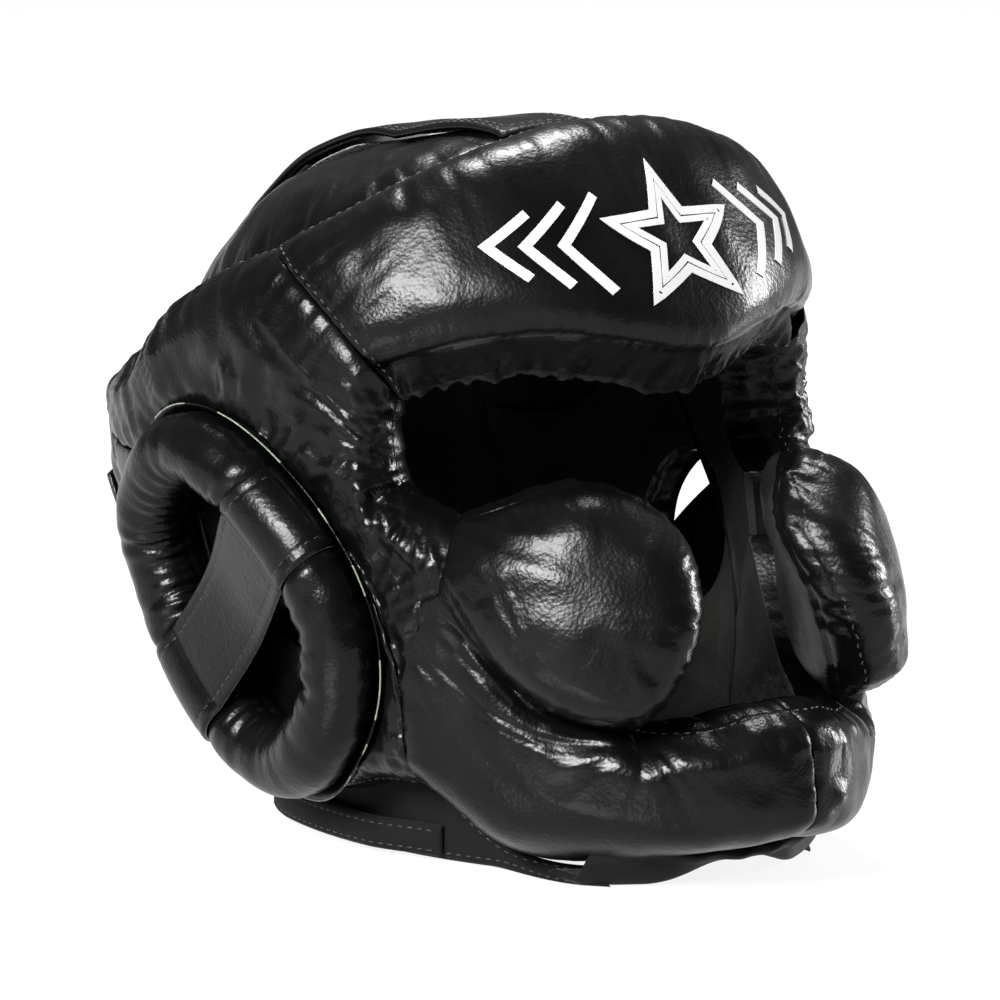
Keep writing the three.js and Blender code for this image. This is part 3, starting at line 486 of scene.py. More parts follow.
class Pad:
    """A padded panel: grids of its cover and of its lining.

    bulge: how far its middle stands out; lift: how far its free edges leave the head;
    lump, wrinkle: height of soft lumps and strength of the simulated folds; bowl: it takes
    the ear ring; stars: (centre, reach, height, count) of creases round a point; wall:
    unevenness of its side; flat: (a0, a1, z0, z1) kept smooth under a tape."""

    def __init__(self, sides, side=1, bulge=0.0, lift=0.0, seed=1, lump=0.35, wrinkle=1.0,
                 bowl=False, stars=(), wall=0.35, flat=None):
        self.side, self.seed, self.wall = side, seed, wall
        self.edges = dict(zip(("bottom", "top", "left", "right"), sides))
        grid = self.inset(coons(*(chain(group) for group in sides)))
        self.nu, self.nv = grid.shape[:2]
        self.a, self.z = grid[..., 0], grid[..., 1]
        spots = outer(self.a, self.z).reshape(-1, 3)
        fill, swell, detail = self.edge_effects(spots)
        full = thickness(self.a, self.z).ravel()
        self.low = (lift * (1 - swell)).reshape(self.nu, self.nv)
        high = full * fill + bulge * swell
        if bowl:
            across = across_ring(spots)
            high = np.minimum(high, full - bowl_depth(across))
            detail -= 0.6 * np.exp(-((across - 17) / 7) ** 2) * ring_creases(spots, across, seed)
        for star_args in stars:
            detail += star(spots, *star_args, 8)
        high = np.maximum(high, self.low.ravel() + THINNEST)
        body = lump * (noise3(spots, 34, seed * 7 + 1) + noise3(spots, 15, seed * 7 + 2) * 0.45)
        self.edge_distance = np.minimum.reduce([e.d for g in sides for e in g])
        body *= np.clip(self.edge_distance.ravel() / 8, 0, 1)
        self.smooth_high = high.reshape(self.nu, self.nv)
        relief = (detail + body).reshape(self.nu, self.nv)
        if wrinkle > 0:
            relief = relief + settle(self.place(self.smooth_high), wrinkle, seed)
        if flat is not None:
            a0, a1, z0, z1 = flat
            covered = (self.a > a0) & (self.a < a1) & (self.z > z0) & (self.z < z1)
            relief = np.where(covered, np.minimum(relief, 0.1), relief)
        self.h = self.smooth_high + relief
        self.top = self.place(self.h)
        way = (normals_of(self.top) * (self.top - self.place(self.low))).sum()
        self.sign = 1.0 if way > 0 else -1.0

    def edge_effects(self, spots):
        """Share of the full thickness, share of the bulge, and relief, from all the edges."""
        fill, swell, detail = np.ones(len(spots)), np.ones(len(spots)), np.zeros(len(spots))
        for k, e in enumerate((e for g in self.edges.values() for e in g), 1):
            pts = spline(e.via, max(e.steps * 2, 8))
            line = outer(pts[:, 0], pts[:, 1])
            d, s = foot(spots, line)
            e.d = d.reshape(self.nu, self.nv)
            x = rise(d / e.roll)
            length = along(line)[-1]
            seed = self.seed * 101 + k
            share = np.clip(s / length * 1.5 - 0.1, 0.05, 1) ** 1.3 if e.taper else 1.0
            if e.under:
                x = rise(np.maximum(d - e.under, 0) / e.roll)
                ends = np.clip(np.minimum(s, length - s) / 16, 0.15, 1)
                fill *= 1 - e.drop * (1 - x) - UNDER_DROP * np.clip(1 - d / e.under, 0, 1) * ends
                detail += 0.5 * np.exp(-((d - e.under - 1.4) / 0.9) ** 2)
                detail -= 0.8 * np.exp(-((d - e.under - 0.2) / 0.6) ** 2)
                detail += gathers(d, s, 1.5, e.under, 2.8, seed + 50)
            else:
                fill *= 1 - e.drop * (1 - x) * share
            if e.drop > 0.2:
                swell *= x
            if e.fade > 0:
                swell *= rise(d / e.fade)
            if e.pucker:
                detail += puckers(d, s, length, e.pucker, e.reach, e.step, seed)
            if e.gather:
                detail += gathers(d, s, e.gather, e.reach * 1.3, e.crimp, seed)
            if e.sweep:
                detail += swept(d, s, length, e.sweep, seed)
            if e.stitch:
                detail -= 0.35 * np.exp(-((d - STITCH_IN) / 0.9) ** 2)
        return fill, swell, detail

    def place(self, h):
        return layered(self.a, self.z, h) * [self.side, 1, 1]

    def inset(self, grid):
        """Draws the outline in, square to each edge, where it is not sewn flush."""
        a, z = grid[..., 0], grid[..., 1]
        wide = np.linalg.norm(outer(a + 0.5, z) - outer(a - 0.5, z), axis=-1)
        tall = np.linalg.norm(outer(a, z + 0.5) - outer(a, z - 0.5), axis=-1)
        metric = np.stack([wide, tall], -1)
        out = np.zeros_like(grid)
        for key, group in self.edges.items():
            at, beside = SIDE_POINTS[key]
            edge = np.gradient(grid[at], axis=0) * metric[at]
            into = (grid[beside] - grid[at]) * metric[at]
            n = unit(np.stack([-edge[:, 1], edge[:, 0]], -1))
            n *= np.where((n * into).sum(-1) < 0, -1, 1)[:, None]
            amount = np.concatenate([[0 if e.tight else SEAM_GAP] * (e.steps * FINE) for e in group])
            out[at] += n * np.append(amount, amount[-1])[:, None]
        return grid + out / metric

    def rim_edges(self):
        """The edge that each point round the outline lies on."""
        spread = {key: [e for e in group for _ in range(e.steps * FINE)]
                  for key, group in self.edges.items()}
        return spread["bottom"] + spread["right"] + spread["top"][::-1] + spread["left"][::-1]

    def line_in(self, key, dist):
        """Polyline on the cover, parallel to a side at a distance, with its normals."""
        both = np.concatenate([self.top, normals_of(self.top) * self.sign], -1)
        turned = key in ("top", "right")
        if turned:
            both = both[::-1, ::-1]
        if key in ("left", "right"):
            both = both.transpose(1, 0, 2)
        line = np.array([across_at(along(row[:, :3]), row, dist) for row in both])
        if turned:
            line = line[::-1]
        return line[:, :3], line[:, 3:]

    def cover(self, hole=None, rows=7):
        """Cover surface, rolled edge down to the lining, and the edge stitching."""
        build = Build()
        top, keep = (self.top, None) if hole is None else pierce(self.top, hole, self.side)
        # Faces on a gathered underside, along the brow roll, get a darker, rougher, less glossy copy
        # of the leather: painted shade where the underside turns away from the light.
        painted_shade_faces = np.zeros((self.nu, self.nv), bool)
        for e in (e for g in self.edges.values() for e in g if e.under):
            painted_shade_faces |= e.d < e.under + 0.4
        painted_shade_faces = (painted_shade_faces[:-1, :-1] & painted_shade_faces[1:, 1:]).astype(int) * 2
        build.add(top, grid_faces(self.nu, self.nv, self.sign < 0, keep=keep),
                  painted_shade_faces.ravel() if keep is None else painted_shade_faces[keep],
                  np.stack([self.a * 2, self.z], -1) * MM)
        ii, jj = rim(self.nu, self.nv)
        edge = self.rim_edges()
        upper = top[ii, jj]
        low = self.place(self.low)[ii, jj]
        centre = self.place((self.smooth_high + self.low) / 2)
        # sideways direction, away from the pad
        ahead = np.roll(upper, -1, 0) - np.roll(upper, 1, 0)
        aside = unit(np.cross(ahead, unit(low - upper)))
        inward = centre[np.clip(ii, 2, self.nu - 3), np.clip(jj, 2, self.nv - 3)] - (upper + low) / 2
        aside *= np.where((aside * inward).sum(-1) > 0, -1, 1)[:, None]
        open_edge = np.array([1.0 if e.drop > 0.2 else 0.0 for e in edge])
        for _ in range(6):
            open_edge = (open_edge + np.roll(open_edge, 1) + np.roll(open_edge, -1)) / 3
        s = along(np.concatenate([upper, upper[:1]]))[:-1]
        ripple = noise3(np.stack([s, 0 * s, 0 * s], -1), 3.6, self.seed * 13 + 5)
        walls = []
        for t in np.linspace(0, 1, rows + 1):
            swell = math.sin(math.pi * t) ** 0.7 * (1.5 + self.wall * ripple) if 0 < t < 1 else 0
            tuck = -1.2 * math.exp(-((t - 0.72) / 0.1) ** 2)
            out = (swell + tuck) * open_edge - 0.25 * t * (1 - open_edge)
            walls.append(upper * (1 - t) + low * t + aside * (out * (t > 0))[:, None])
        # The side walls along a gathered underside take the same painted shade material.
        painted_shade = [2 if e.under else 0 for e in edge]
        build.add(walls, grid_faces(rows + 1, len(ii), self.sign > 0, wrap_v=True), painted_shade * rows)
        for key, group in self.edges.items():
            line, nrm = self.line_in(key, STITCH_IN)
            k = 0
            for e in group:
                span = slice(k, k + e.steps * FINE + 1)
                k += e.steps * FINE
                if e.stitch:
                    stitches(build, line[span], nrm[span], 1)
        return build

    def lining(self, hole=None):
        """Inner face with its creases; its back closes a few millimetres in."""
        flat = self.place(self.low).reshape(-1, 3)
        n = noise3(flat, 16, self.seed * 17 + 1) * 0.5 + noise3(flat, 6.5, self.seed * 17 + 2) * 0.22
        crease = noise3(flat, 9, self.seed * 17 + 3)
        n = (n - 0.5 * np.exp(-(crease / 0.14) ** 2)).reshape(self.nu, self.nv)
        h = self.low + 0.9 + QUILT * n - 1.1 * np.clip(1 - self.edge_distance / 6, 0, 1) ** 2
        face = self.place(np.maximum(h, self.low - 0.6))
        back = self.place(self.low + LINING_BACK)
        build = Build()
        flip = self.sign > 0
        keep = None
        if hole is not None:
            face, keep = pierce(face, hole, self.side)
            back, _ = pierce(back, hole, self.side)
        build.add(face, grid_faces(self.nu, self.nv, flip, keep=keep), 0,
                  np.stack([self.a * 2, self.z], -1) * MM)
        build.add(back, grid_faces(self.nu, self.nv, not flip, keep=keep))
        ii, jj = rim(self.nu, self.nv)
        build.add([face[ii, jj], back[ii, jj]], grid_faces(2, len(ii), not flip, wrap_v=True))
        if keep is not None:
            close_hole(build, face, back, keep, flip)
        return build


def ring_creases(spots, across, seed):
    """Creases that run out from the ear ring's bowl."""
    turn = np.arctan2(spots[:, 2] - RING_Z, spots[:, 1] - RING_Y - SHIFT)
    loop_at = np.stack([40 * np.cos(turn), 40 * np.sin(turn), across * 0.35], -1)
    return np.clip(noise3(loop_at, 3.0, seed * 5 + 9), -0.2, 2)


HOLE = {"y": 101 + SHIFT, "z": 88.0, "half_y": 22.0, "half_z": 24.0}          # ear hole


def pierce(grid, hole, side):
    """Opens an oval in a grid: outline points are drawn onto the oval."""
    y, z = grid[..., 1] - hole["y"], grid[..., 2] - hole["z"]
    r = np.sqrt((y / hole["half_y"]) ** 2 + (z / hole["half_z"]) ** 2)
    inside = (r < 1) & (grid[..., 0] * side > 0)
    quad = inside[:-1, :-1] & inside[1:, :-1] & inside[1:, 1:] & inside[:-1, 1:]
    keep = ~quad
    used = np.zeros_like(inside)
    used[:-1, :-1] |= keep
    used[1:, :-1] |= keep
    used[1:, 1:] |= keep
    used[:-1, 1:] |= keep
    out = grid.copy()
    snap = inside & used
    f = 1 / np.maximum(r, 1e-6)
    out[..., 1] = np.where(snap, hole["y"] + y * f, out[..., 1])
    out[..., 2] = np.where(snap, hole["z"] + z * f, out[..., 2])
    return out, keep


def close_hole(build, face, back, keep, flip):
    """Walls between two pierced grids round the hole."""
    nu, nv = face.shape[:2]
    edges = {}
    for i in range(nu - 1):
        for j in range(nv - 1):
            if keep[i, j]:
                continue
            for a, b in (((i, j), (i + 1, j)), ((i + 1, j), (i + 1, j + 1)),
                         ((i + 1, j + 1), (i, j + 1)), ((i, j + 1), (i, j))):
                if (b, a) in edges:
                    del edges[(b, a)]
                else:
                    edges[(a, b)] = True
    for a, b in edges:
        pts = [face[a], face[b], back[b], back[a]]
        build.add(pts, [[0, 1, 2, 3] if not flip else [3, 2, 1, 0]], 0)


# ---- materials -------------------------------------------------------------
def new_material(name):
    mat = bpy.data.materials.new(name)
    mat.use_nodes = True
    MATERIALS[name] = mat
    return mat.node_tree, mat.node_tree.nodes["Principled BSDF"]


def feed(tree, n, inputs):
    """Links or sets each input of a node."""
    for k, v in inputs.items():
        if isinstance(v, bpy.types.NodeSocket):
            tree.links.new(v, n.inputs[k])
        else:
            n.inputs[k].default_value = v


def node(tree, kind, out, inputs, **props):
    n = tree.nodes.new("ShaderNode" + kind)
    for k, v in props.items():
        setattr(n, k, v)
    feed(tree, n, inputs)
    return n.outputs[out]


def coordinates(tree, kind="Object"):
    return node(tree, "TexCoord", kind, {})


def clouds(tree, where, scale, detail, **more):
    return node(tree, "TexNoise", "Fac", {"Vector": where, "Scale": scale, "Detail": detail, **more})


def cells(tree, where, scale):
    return node(tree, "TexVoronoi", "Distance", {"Vector": where, "Scale": scale})


def ramp(tree, fac, *stops):
    """A colour ramp through (place, colour) stops."""
    n = tree.nodes.new("ShaderNodeValToRGB")
    tree.links.new(fac, n.inputs["Fac"])
    for e, (pos, colour) in zip(n.color_ramp.elements, stops):
        e.position, e.color = pos, (*colour, 1)
    return n.outputs["Color"]


def bumps(tree, *layers):
    """Chains bump nodes: (height socket, distance in metres, strength)."""
    out = {}
    for height, distance, strength in layers:
        out = {"Normal": node(tree, "Bump", "Normal", {"Height": height, "Distance": distance,
                                                       "Strength": strength, **out})}
    return out["Normal"]


def leather(name, dark, light, rough, rough_spread, grain=0.00015, fold=0.00025, specular=0.18):
    """Smooth leather: pores, fine grain and soft drawn-out folds."""
    tree, bsdf = new_material(name)
    where = coordinates(tree)
    drawn = node(tree, "Mapping", "Vector", {"Vector": where, "Rotation": (0.5, 0.3, 0.6),
                                             "Scale": (1.0, 0.8, 0.28)})
    wear = clouds(tree, where, 28.0, 4.0, Roughness=0.6)
    spread = node(tree, "MapRange", "Result", {"Value": wear, "From Min": 0.3, "From Max": 0.7,
                                               "To Min": rough - rough_spread,
                                               "To Max": rough + rough_spread})
    feed(tree, bsdf, {
        "Base Color": ramp(tree, wear, (0.3, dark), (0.75, light)),
        "Roughness": spread,
        "Specular IOR Level": specular,
        "Normal": bumps(tree, (clouds(tree, drawn, 150.0, 3.0, Distortion=0.3), fold, 0.5),
                        (clouds(tree, where, 420.0, 3.0), grain, 0.8),
                        (cells(tree, where, 780.0), grain * 0.7, 0.6))})


def weave(name, dark, light, pitch, depth, rough):
    """Woven textile: crossing ribs that follow the strap's own length and width."""
    tree, bsdf = new_material(name)
    uv, where = coordinates(tree, "UV"), coordinates(tree)
    ribs = []
    for turn, share in ((0.0, 1), (math.pi / 2, 0.6)):
        turned = node(tree, "Mapping", "Vector", {"Vector": uv, "Rotation": (0.0, 0.0, turn)})
        ribs.append(node(tree, "TexWave", "Fac", {"Vector": turned, "Scale": 0.314 / (pitch * share),
                                                  "Distortion": 0.4, "Detail": 1.0}))
    cross = node(tree, "Math", 0, dict(enumerate(ribs)), operation="MULTIPLY")
    wear = clouds(tree, where, 45.0, 3.0)
    mix = node(tree, "Math", 0, {0: cross, 1: wear}, operation="MULTIPLY")
    feed(tree, bsdf, {
        "Base Color": ramp(tree, mix, (0.05, dark), (0.6, light)), "Roughness": rough,
        "Sheen Weight": 0.08, "Sheen Roughness": 0.4, "Specular IOR Level": 0.15,
        "Normal": bumps(tree, (cross, depth, 0.9), (clouds(tree, where, 900.0, 2.0), 0.00012, 0.6))})


def fleck(name, dark, light, scale, depth, rough, sheen=0.0):
    """Small even texture: raw leather, thread, hook tape or napped loop tape."""
    tree, bsdf = new_material(name)
    where = coordinates(tree)
    cloud = clouds(tree, where, scale * 0.35, 4.0)
    feed(tree, bsdf, {
        "Base Color": ramp(tree, cloud, (0.3, dark), (0.7, light)), "Roughness": rough,
        "Sheen Weight": sheen,
        "Normal": bumps(tree, (cloud, depth, 0.8), (cells(tree, where, scale), depth, 0.8))})


def floor_finish():
    tree, bsdf = new_material("floor")
    cloud = clouds(tree, coordinates(tree), 3.0, 2.0)
    feed(tree, bsdf, {
        "Base Color": ramp(tree, cloud, (0.3, (0.125, 0.125, 0.127)), (0.7, (0.14, 0.14, 0.14))),
        "Roughness": 0.22, "Specular IOR Level": 0.35,
        "Emission Color": (1.0, 1.0, 1.0, 1.0), "Emission Strength": 0.88})


leather("leather", (0.0010, 0.0010, 0.0011), (0.0026, 0.0026, 0.0028), 0.29, 0.05)
leather("lining", (0.005, 0.005, 0.0047), (0.014, 0.014, 0.013), 0.42, 0.07, fold=0.0008,
        specular=0.25)
leather("ring_leather", (0.0008, 0.0008, 0.0009), (0.0022, 0.0022, 0.0024), 0.27, 0.05)
# A darker, rougher, less glossy copy of the leather for the gathered underside of the brow: painted
# shade, not a different leather.
leather("painted_shade", (0.0008, 0.0008, 0.0009), (0.0018, 0.0018, 0.0019), 0.5, 0.06, fold=0.0006,
        specular=0.12)
leather("mark", (0.38, 0.38, 0.377), (0.44, 0.44, 0.437), 0.38, 0.04, grain=0.00006, fold=0.0001)
fleck("thread", (0.003, 0.003, 0.0033), (0.010, 0.010, 0.0105), 1400.0, 0.0002, 0.55, 0.1)
fleck("raw_edge", (0.09, 0.12, 0.08), (0.20, 0.24, 0.18), 700.0, 0.0003, 0.75)
fleck("hook", (0.004, 0.004, 0.0045), (0.014, 0.014, 0.015), 1100.0, 0.0008, 0.7)
fleck("loop", (0.006, 0.006, 0.0065), (0.018, 0.018, 0.0195), 800.0, 0.0007, 0.95, 0.5)
weave("webbing", (0.0015, 0.0015, 0.0017), (0.006, 0.006, 0.0066), 1.1, 0.00035, 0.8)
floor_finish()


def hand_in(ob, body, replaces=()):
    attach(ob, body)
    if replaces:
        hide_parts(*replaces)


# ---- panel outlines ([angle, level], as in the CAD) -------------------------
TEMPLE_SEAM = [[48, 152], [55, 168], [65, 184], [77, 197]]
BROW = [[-48, 152], [-36, 159], [-24, 162], [-12, 159], [0, 155],
        [12, 159], [24, 162], [36, 159], [48, 152]]
FOREHEAD_TOP = [[-77, 197], [-59, 214], [-43, 227], [-22, 236], [0, 238],
                [22, 236], [43, 227], [59, 214], [77, 197]]
TEMPLE_TOP = [[139, 142], [120, 157], [105, 174], [90, 188], [77, 197]]
EYE_EDGE = [[48, 152], [50, 138], [50, 124], [46, 117], [41, 114]]
EAR_TOP = [[139, 118], [120, 120], [104, 132], [88, 141]]
EAR_FRONT = [[88, 141], [76, 135], [69, 118]]
EAR_CORNER = [[69, 118], [64, 102], [61, 80], [61, 60]]
SIDE_BOTTOM = [[138.5, 13], [120, 15], [100, 19], [80, 26], [66, 27]]
JAW_REAR = [[66, 27], [63.5, 43.5], [61, 60]]
JAW_SHOULDER = [[61, 60], [55, 77], [48, 92]]
CHEEK_ROOT = [[48, 92], [44.5, 103], [41, 114]]
CHEEK_FOLD = [[48, 92], [43, 74], [34, 57], [21, 51.5]]
CHEEK_FRONT = [[21, 51.5], [15, 71], [11, 92], [10, 110], [14, 122]]
CHEEK_TOP = [[41, 114], [31, 122], [22, 127], [14, 122]]
JAW_TOP = [[21, 51.5], [12, 53], [6, 56.5], [0, 57.5]]
JAW_BOTTOM = [[66, 27], [45, 8], [26, 2.5], [10, 10], [0, 16]]
REAR_TOP = [[159.5, 137], [180, 135], [200.5, 137]]
SIDES = [("_right", -1), ("_left", 1)]


def finish_pad(pad, name, suffix="", body="shell", hole=None, lining=True):
    """Makes a pad's cover, with a hole where it has one, and its lining."""
    build = pad.cover(hole)
    if hole is not None:
        hole_wall(build, pad, hole)
    ob = build.object(f"{name}_pad{suffix}", ["leather", "thread", "painted_shade"])
    hand_in(ob, body, [f"{name}_cover{suffix}", f"{name}_foam{suffix}"])
    if lining:
        ob = pad.lining().object(f"{name}_inside{suffix}", ["lining"])
        hand_in(ob, body, [f"{name}_lining{suffix}"])


def hole_wall(build, pad, hole, turns=150, rows=14):
    """Gathered leather sleeve through the pad, from its face to the lining."""
    t = np.linspace(0, 2 * math.pi, turns, endpoint=False)
    y = hole["y"] + hole["half_y"] * np.cos(t)
    z = hole["z"] + hole["half_z"] * np.sin(t)
    flute = noise3(np.stack([20 * np.cos(t), 20 * np.sin(t), 0 * t], -1), 3.6, 4242)
    a = angle_at(y, z)
    face = outer(a, z)
    x_out = face[:, 0] - bowl_depth(across_ring(face)) - 0.6
    x_in = inner(a, z)[:, 0] + 1.0
    grid = []
    for w in np.linspace(0, 1, rows + 1):
        bell = math.sin(math.pi * w)
        shrink = 1 + 0.09 * (1 - bell) ** 3 + 0.02 * bell
        ripple = 0.9 * flute * (0.3 + 0.7 * bell)
        grid.append(np.stack([pad.side * (x_out * (1 - w) + x_in * w),
                              hole["y"] + (hole["half_y"] * shrink + ripple) * np.cos(t),
                              hole["z"] + (hole["half_z"] * shrink + ripple) * np.sin(t)], -1))
    build.add(grid, grid_faces(rows + 1, turns, pad.side > 0, wrap_v=True))


# ---- forehead ---------------------------------------------------------------
forehead = Pad((
    [free(16, 0.26, 16, BROW, pucker=0, stitch=False, under=11)],
    [free(16, 0.5, 20, FOREHEAD_TOP, pucker=0.8, reach=18, step=8, gather=0.45)],
    [soft(6, [[-a, z] for a, z in TEMPLE_SEAM], pucker=0.45, reach=18, step=6, gather=0.35)],
    [soft(6, TEMPLE_SEAM, pucker=0.45, reach=18, step=6, gather=0.35)]),
    seed=11, lump=0.2, wrinkle=0.2, wall=0.8)
finish_pad(forehead, "forehead")

EYE_CORNER = ((49, 116), 34, 0.8, 6.0)
EYE_FAN = ((47, 126), 66, 0.85, 9.0)
MOUTH_CORNER = ((21, 51.5), 26, 0.9, 4.0)
for suffix, side in SIDES:
    tag = 100 if side > 0 else 200
    temple = Pad((
        [soft(5, EAR_TOP, pucker=0.9, reach=20, step=7, stitch=False, gather=0.4),
         soft(4, EAR_FRONT, pucker=0.8, reach=34, step=5, stitch=False, gather=0.5, crimp=2.6),
         soft(5, EAR_CORNER, pucker=0.8, reach=36, step=5, stitch=False, gather=0.5, crimp=2.6)],
        [free(5, 0.5, 20, TEMPLE_TOP, pucker=1.0, reach=22, step=8, gather=0.5),
         soft(4, TEMPLE_SEAM[::-1], pucker=0.45, reach=18, step=6, gather=0.35,
              stitch=False),
         free(5, 0.55, 18, EYE_EDGE, pucker=0.8 if side < 0 else 0.45, reach=26, step=4.5,
              gather=0.6 if side < 0 else 0.4, crimp=2.6, stitch=side > 0)],
        [soft(6, [[139, 118], [139, 142]], pucker=0.9, reach=18, gather=0.4, tight=True)],
        [flush(4, JAW_SHOULDER), flush(2, CHEEK_ROOT)]),
        side=side, seed=tag + 1, lump=0.2, wrinkle=0.3, bowl=True, stars=(EYE_CORNER, EYE_FAN))
    finish_pad(temple, "temple", suffix, lining=False)

    ear = Pad((
        [free(14, 0.6, 14, SIDE_BOTTOM, pucker=1.2, reach=16, step=7, gather=0.4)],
        [soft(5, EAR_TOP, stitch=False), soft(4, EAR_FRONT, stitch=False),
         soft(5, EAR_CORNER, pucker=0.9, reach=12, stitch=False)],
        [soft(7, [[138.8, 13], [139, 60], [139, 118]], pucker=0.9, gather=0.4, tight=True)],
        [soft(7, JAW_REAR, pucker=0.9, stitch=False, gather=0.4)]),
        side=side, seed=tag + 2, lump=0.3, wrinkle=0.3, bowl=True)
    finish_pad(ear, "ear_panel", suffix, hole=HOLE, lining=False)

    whole = Pad((
        [free(14, 0.6, 14, SIDE_BOTTOM)],
        [free(5, 0.5, 20, TEMPLE_TOP), soft(4, TEMPLE_SEAM[::-1]),
         free(5, 0.55, 16, EYE_EDGE)],
        [soft(8, [[138.8, 13], [139, 60], [139, 118], [139, 142]], tight=True)],
        [soft(2, JAW_REAR), soft(3, JAW_SHOULDER), soft(3, CHEEK_ROOT)]),
        side=side, seed=tag + 3, wrinkle=0)
    inside = whole.lining(hole={**HOLE, "half_y": 23.8, "half_z": 25.8})
    hand_in(inside.object(f"side_inside{suffix}", ["lining"]), "shell", [f"side_lining{suffix}"])

    cheek = Pad((
        [free(7, 0.3, 14, CHEEK_FOLD, pucker=0.5, reach=16, step=6, gather=0.35, stitch=False,
              taper=True, sweep=0.7)],
        [free(7, 0.22, 18, CHEEK_TOP, pucker=0.6, reach=8, step=4, gather=0.3,
              stitch=side > 0)],
        [flush(7, CHEEK_ROOT, fade=40)],
        [free(7, 0.22, 20, CHEEK_FRONT, pucker=0.9, reach=13, step=4, gather=0.5,
              stitch=side > 0)]),
        side=side, bulge=13, lift=14, seed=tag + 4, lump=0.25, wrinkle=0.3,
        stars=(EYE_CORNER, MOUTH_CORNER))
    finish_pad(cheek, "cheek", suffix)

    jaw = Pad((
        [free(12, 0.6, 14, JAW_BOTTOM, pucker=0.6, reach=12, step=9, gather=0.2)],
        [free(7, 0.5, 14, CHEEK_FOLD, pucker=0.3, reach=12, step=9, stitch=False, taper=True,
              sweep=1.1),
         free(5, 0.55, 12, JAW_TOP, pucker=0.6, reach=9, step=6, gather=0.25)],
        [soft(2, JAW_REAR, stitch=False, gather=0.3), flush(4, JAW_SHOULDER)],
        [soft(6, [[0, 16], [0, 57.5]], pucker=0.4, reach=9, stitch=False)]),
        side=side, seed=tag + 5, lump=0.1, wrinkle=0.1, stars=(MOUTH_CORNER,))
    finish_pad(jaw, "jaw", suffix)

    wing = Pad((
        [free(4, 0.6, 12, [[158.5, 11], [140, 12]])],
        [free(4, 0.5, 16, [[158.5, 138], [140, 141]])],
        [free(9, 0.4, 12, [[158.5, 11], [158.5, 138]])],
        [soft(9, [[139.15, 12], [139.15, 141]], pucker=1.0, reach=14, tight=True)]),
        side=side, seed=tag + 6, lump=0.3, wrinkle=0.5, flat=(148, 160, 38, 106))
    finish_pad(wing, "rear_wing", suffix, body="wing" + suffix)

rear = Pad((
    [free(6, 0.6, 12, [[159.5, 10], [180, 10], [200.5, 10]])],
    [free(6, 0.5, 16, REAR_TOP)],
    [free(8, 0.4, 12, [[159.5, 10], [159.5, 137]])],
    [free(8, 0.4, 12, [[200.5, 10], [200.5, 137]])]), seed=301, lump=0.3, wrinkle=0.5,
    flat=(161, 199, 34, 110))
finish_pad(rear, "rear_pad")


# ---- flat straps, patches and tabs -------------------------------------------
def lines_beside(s, room, values, r):
    """Lines at distance r from the first and from the last column of a grid: s is the length
    across it, room how far each point lies from the other two edges."""
    rows = [i for i in range(len(s)) if room[i].max() >= r and s[i, -1] >= 2 * r]
    for far in (False, True):
        yield np.array([across_at(s[i], values[i], s[i, -1] - r if far else r) for i in rows])


def strip(name, body, replaces, surface, size, low, high, mat, rows=(2.2,), raw=False,
          wave=0.0, seed=5, ends=True):
    """A band of cloth or leather: surface(u, v, h) gives the point, size its grid. rows are
    the distances of the stitch lines from its edges, along its ends too where ends is set."""
    nu, nv = size
    u = np.linspace(0, 1, nu)[:, None].repeat(nv, 1)
    v = np.linspace(0, 1, nv)[None, :].repeat(nu, 0)
    mid = surface(u, v, (low + high) / 2 + 0 * u)
    su = np.stack([along(mid[:, j]) for j in range(nv)], 1)
    sv = np.stack([along(mid[i]) for i in range(nu)])
    du = np.minimum(su, su[-1] - su)
    dv = np.minimum(sv, sv[:, -1:] - sv)
    edge = np.minimum(du, dv)
    half = (high - low) / 2
    curl = half * (1 - rise(np.clip(edge / (half * 1.1), 0, 1)))
    dent = sum(0.28 * np.exp(-((edge - r) / 0.6) ** 2) for r in rows)
    swing = wave * noise3(mid, 14, seed) * np.clip(edge / 3, 0.2, 1)
    top = surface(u, v, high - curl * 0.8 - dent + swing)
    bottom = surface(u, v, low + curl * 0.8 + swing)
    n = normals_of(top)
    sign = 1.0 if (n * (top - bottom)).sum() > 0 else -1.0
    build = Build()
    uv = np.stack([su, sv], -1) * MM
    build.add(top, grid_faces(nu, nv, sign < 0), 0, uv)
    build.add(bottom, grid_faces(nu, nv, sign > 0), 0, uv)
    ii, jj = rim(nu, nv)
    build.add([top[ii, jj], bottom[ii, jj]], grid_faces(2, len(ii), sign > 0, wrap_v=True),
              2 if raw else 0)
    both = np.concatenate([top, n * sign], -1)
    for r in rows:
        lines = [*lines_beside(sv, du, both, r)]
        if ends:
            lines += lines_beside(su.T, dv.T, both.transpose(1, 0, 2), r)
        for line in lines:
            if len(line) > 3:
                stitches(build, line[:, :3], line[:, 3:], 1, radius=0.27)
    hand_in(build.object(name, [mat, "thread", "raw_edge"]), body, replaces)


def form_strip(side, angles, levels, upright=None):
    """Surface for strip(): a range of angles and levels on the head form. An upright one
    keeps one plan outline at every height, moved out by upright(angle, v)."""
    def surface(u, v, h):
        a = angles[0] + (angles[1] - angles[0]) * u
        bottom, top = levels(a, u)
        z = bottom + (top - bottom) * v
        if upright:
            p = layered(a, np.full_like(a, 9.0), h + upright(a, v))
            p[..., 2] = z
        else:
            p = layered(a, z, h + thickness(a, z))
        return p * [side, 1, 1]
    return surface


def rounded(bottom, top, start):
    """Levels of a band whose far end is rounded from start on."""
    def levels(a, u):
        t = np.clip((u - start) / (1 - start), 0, 1)
        trim = (top - bottom) * 0.32 * (1 - np.sqrt(1 - t * t))
        return bottom + trim, top - trim
    return levels


def steady(bottom, top):
    return lambda a, u: (bottom + 0 * u, top + 0 * u)


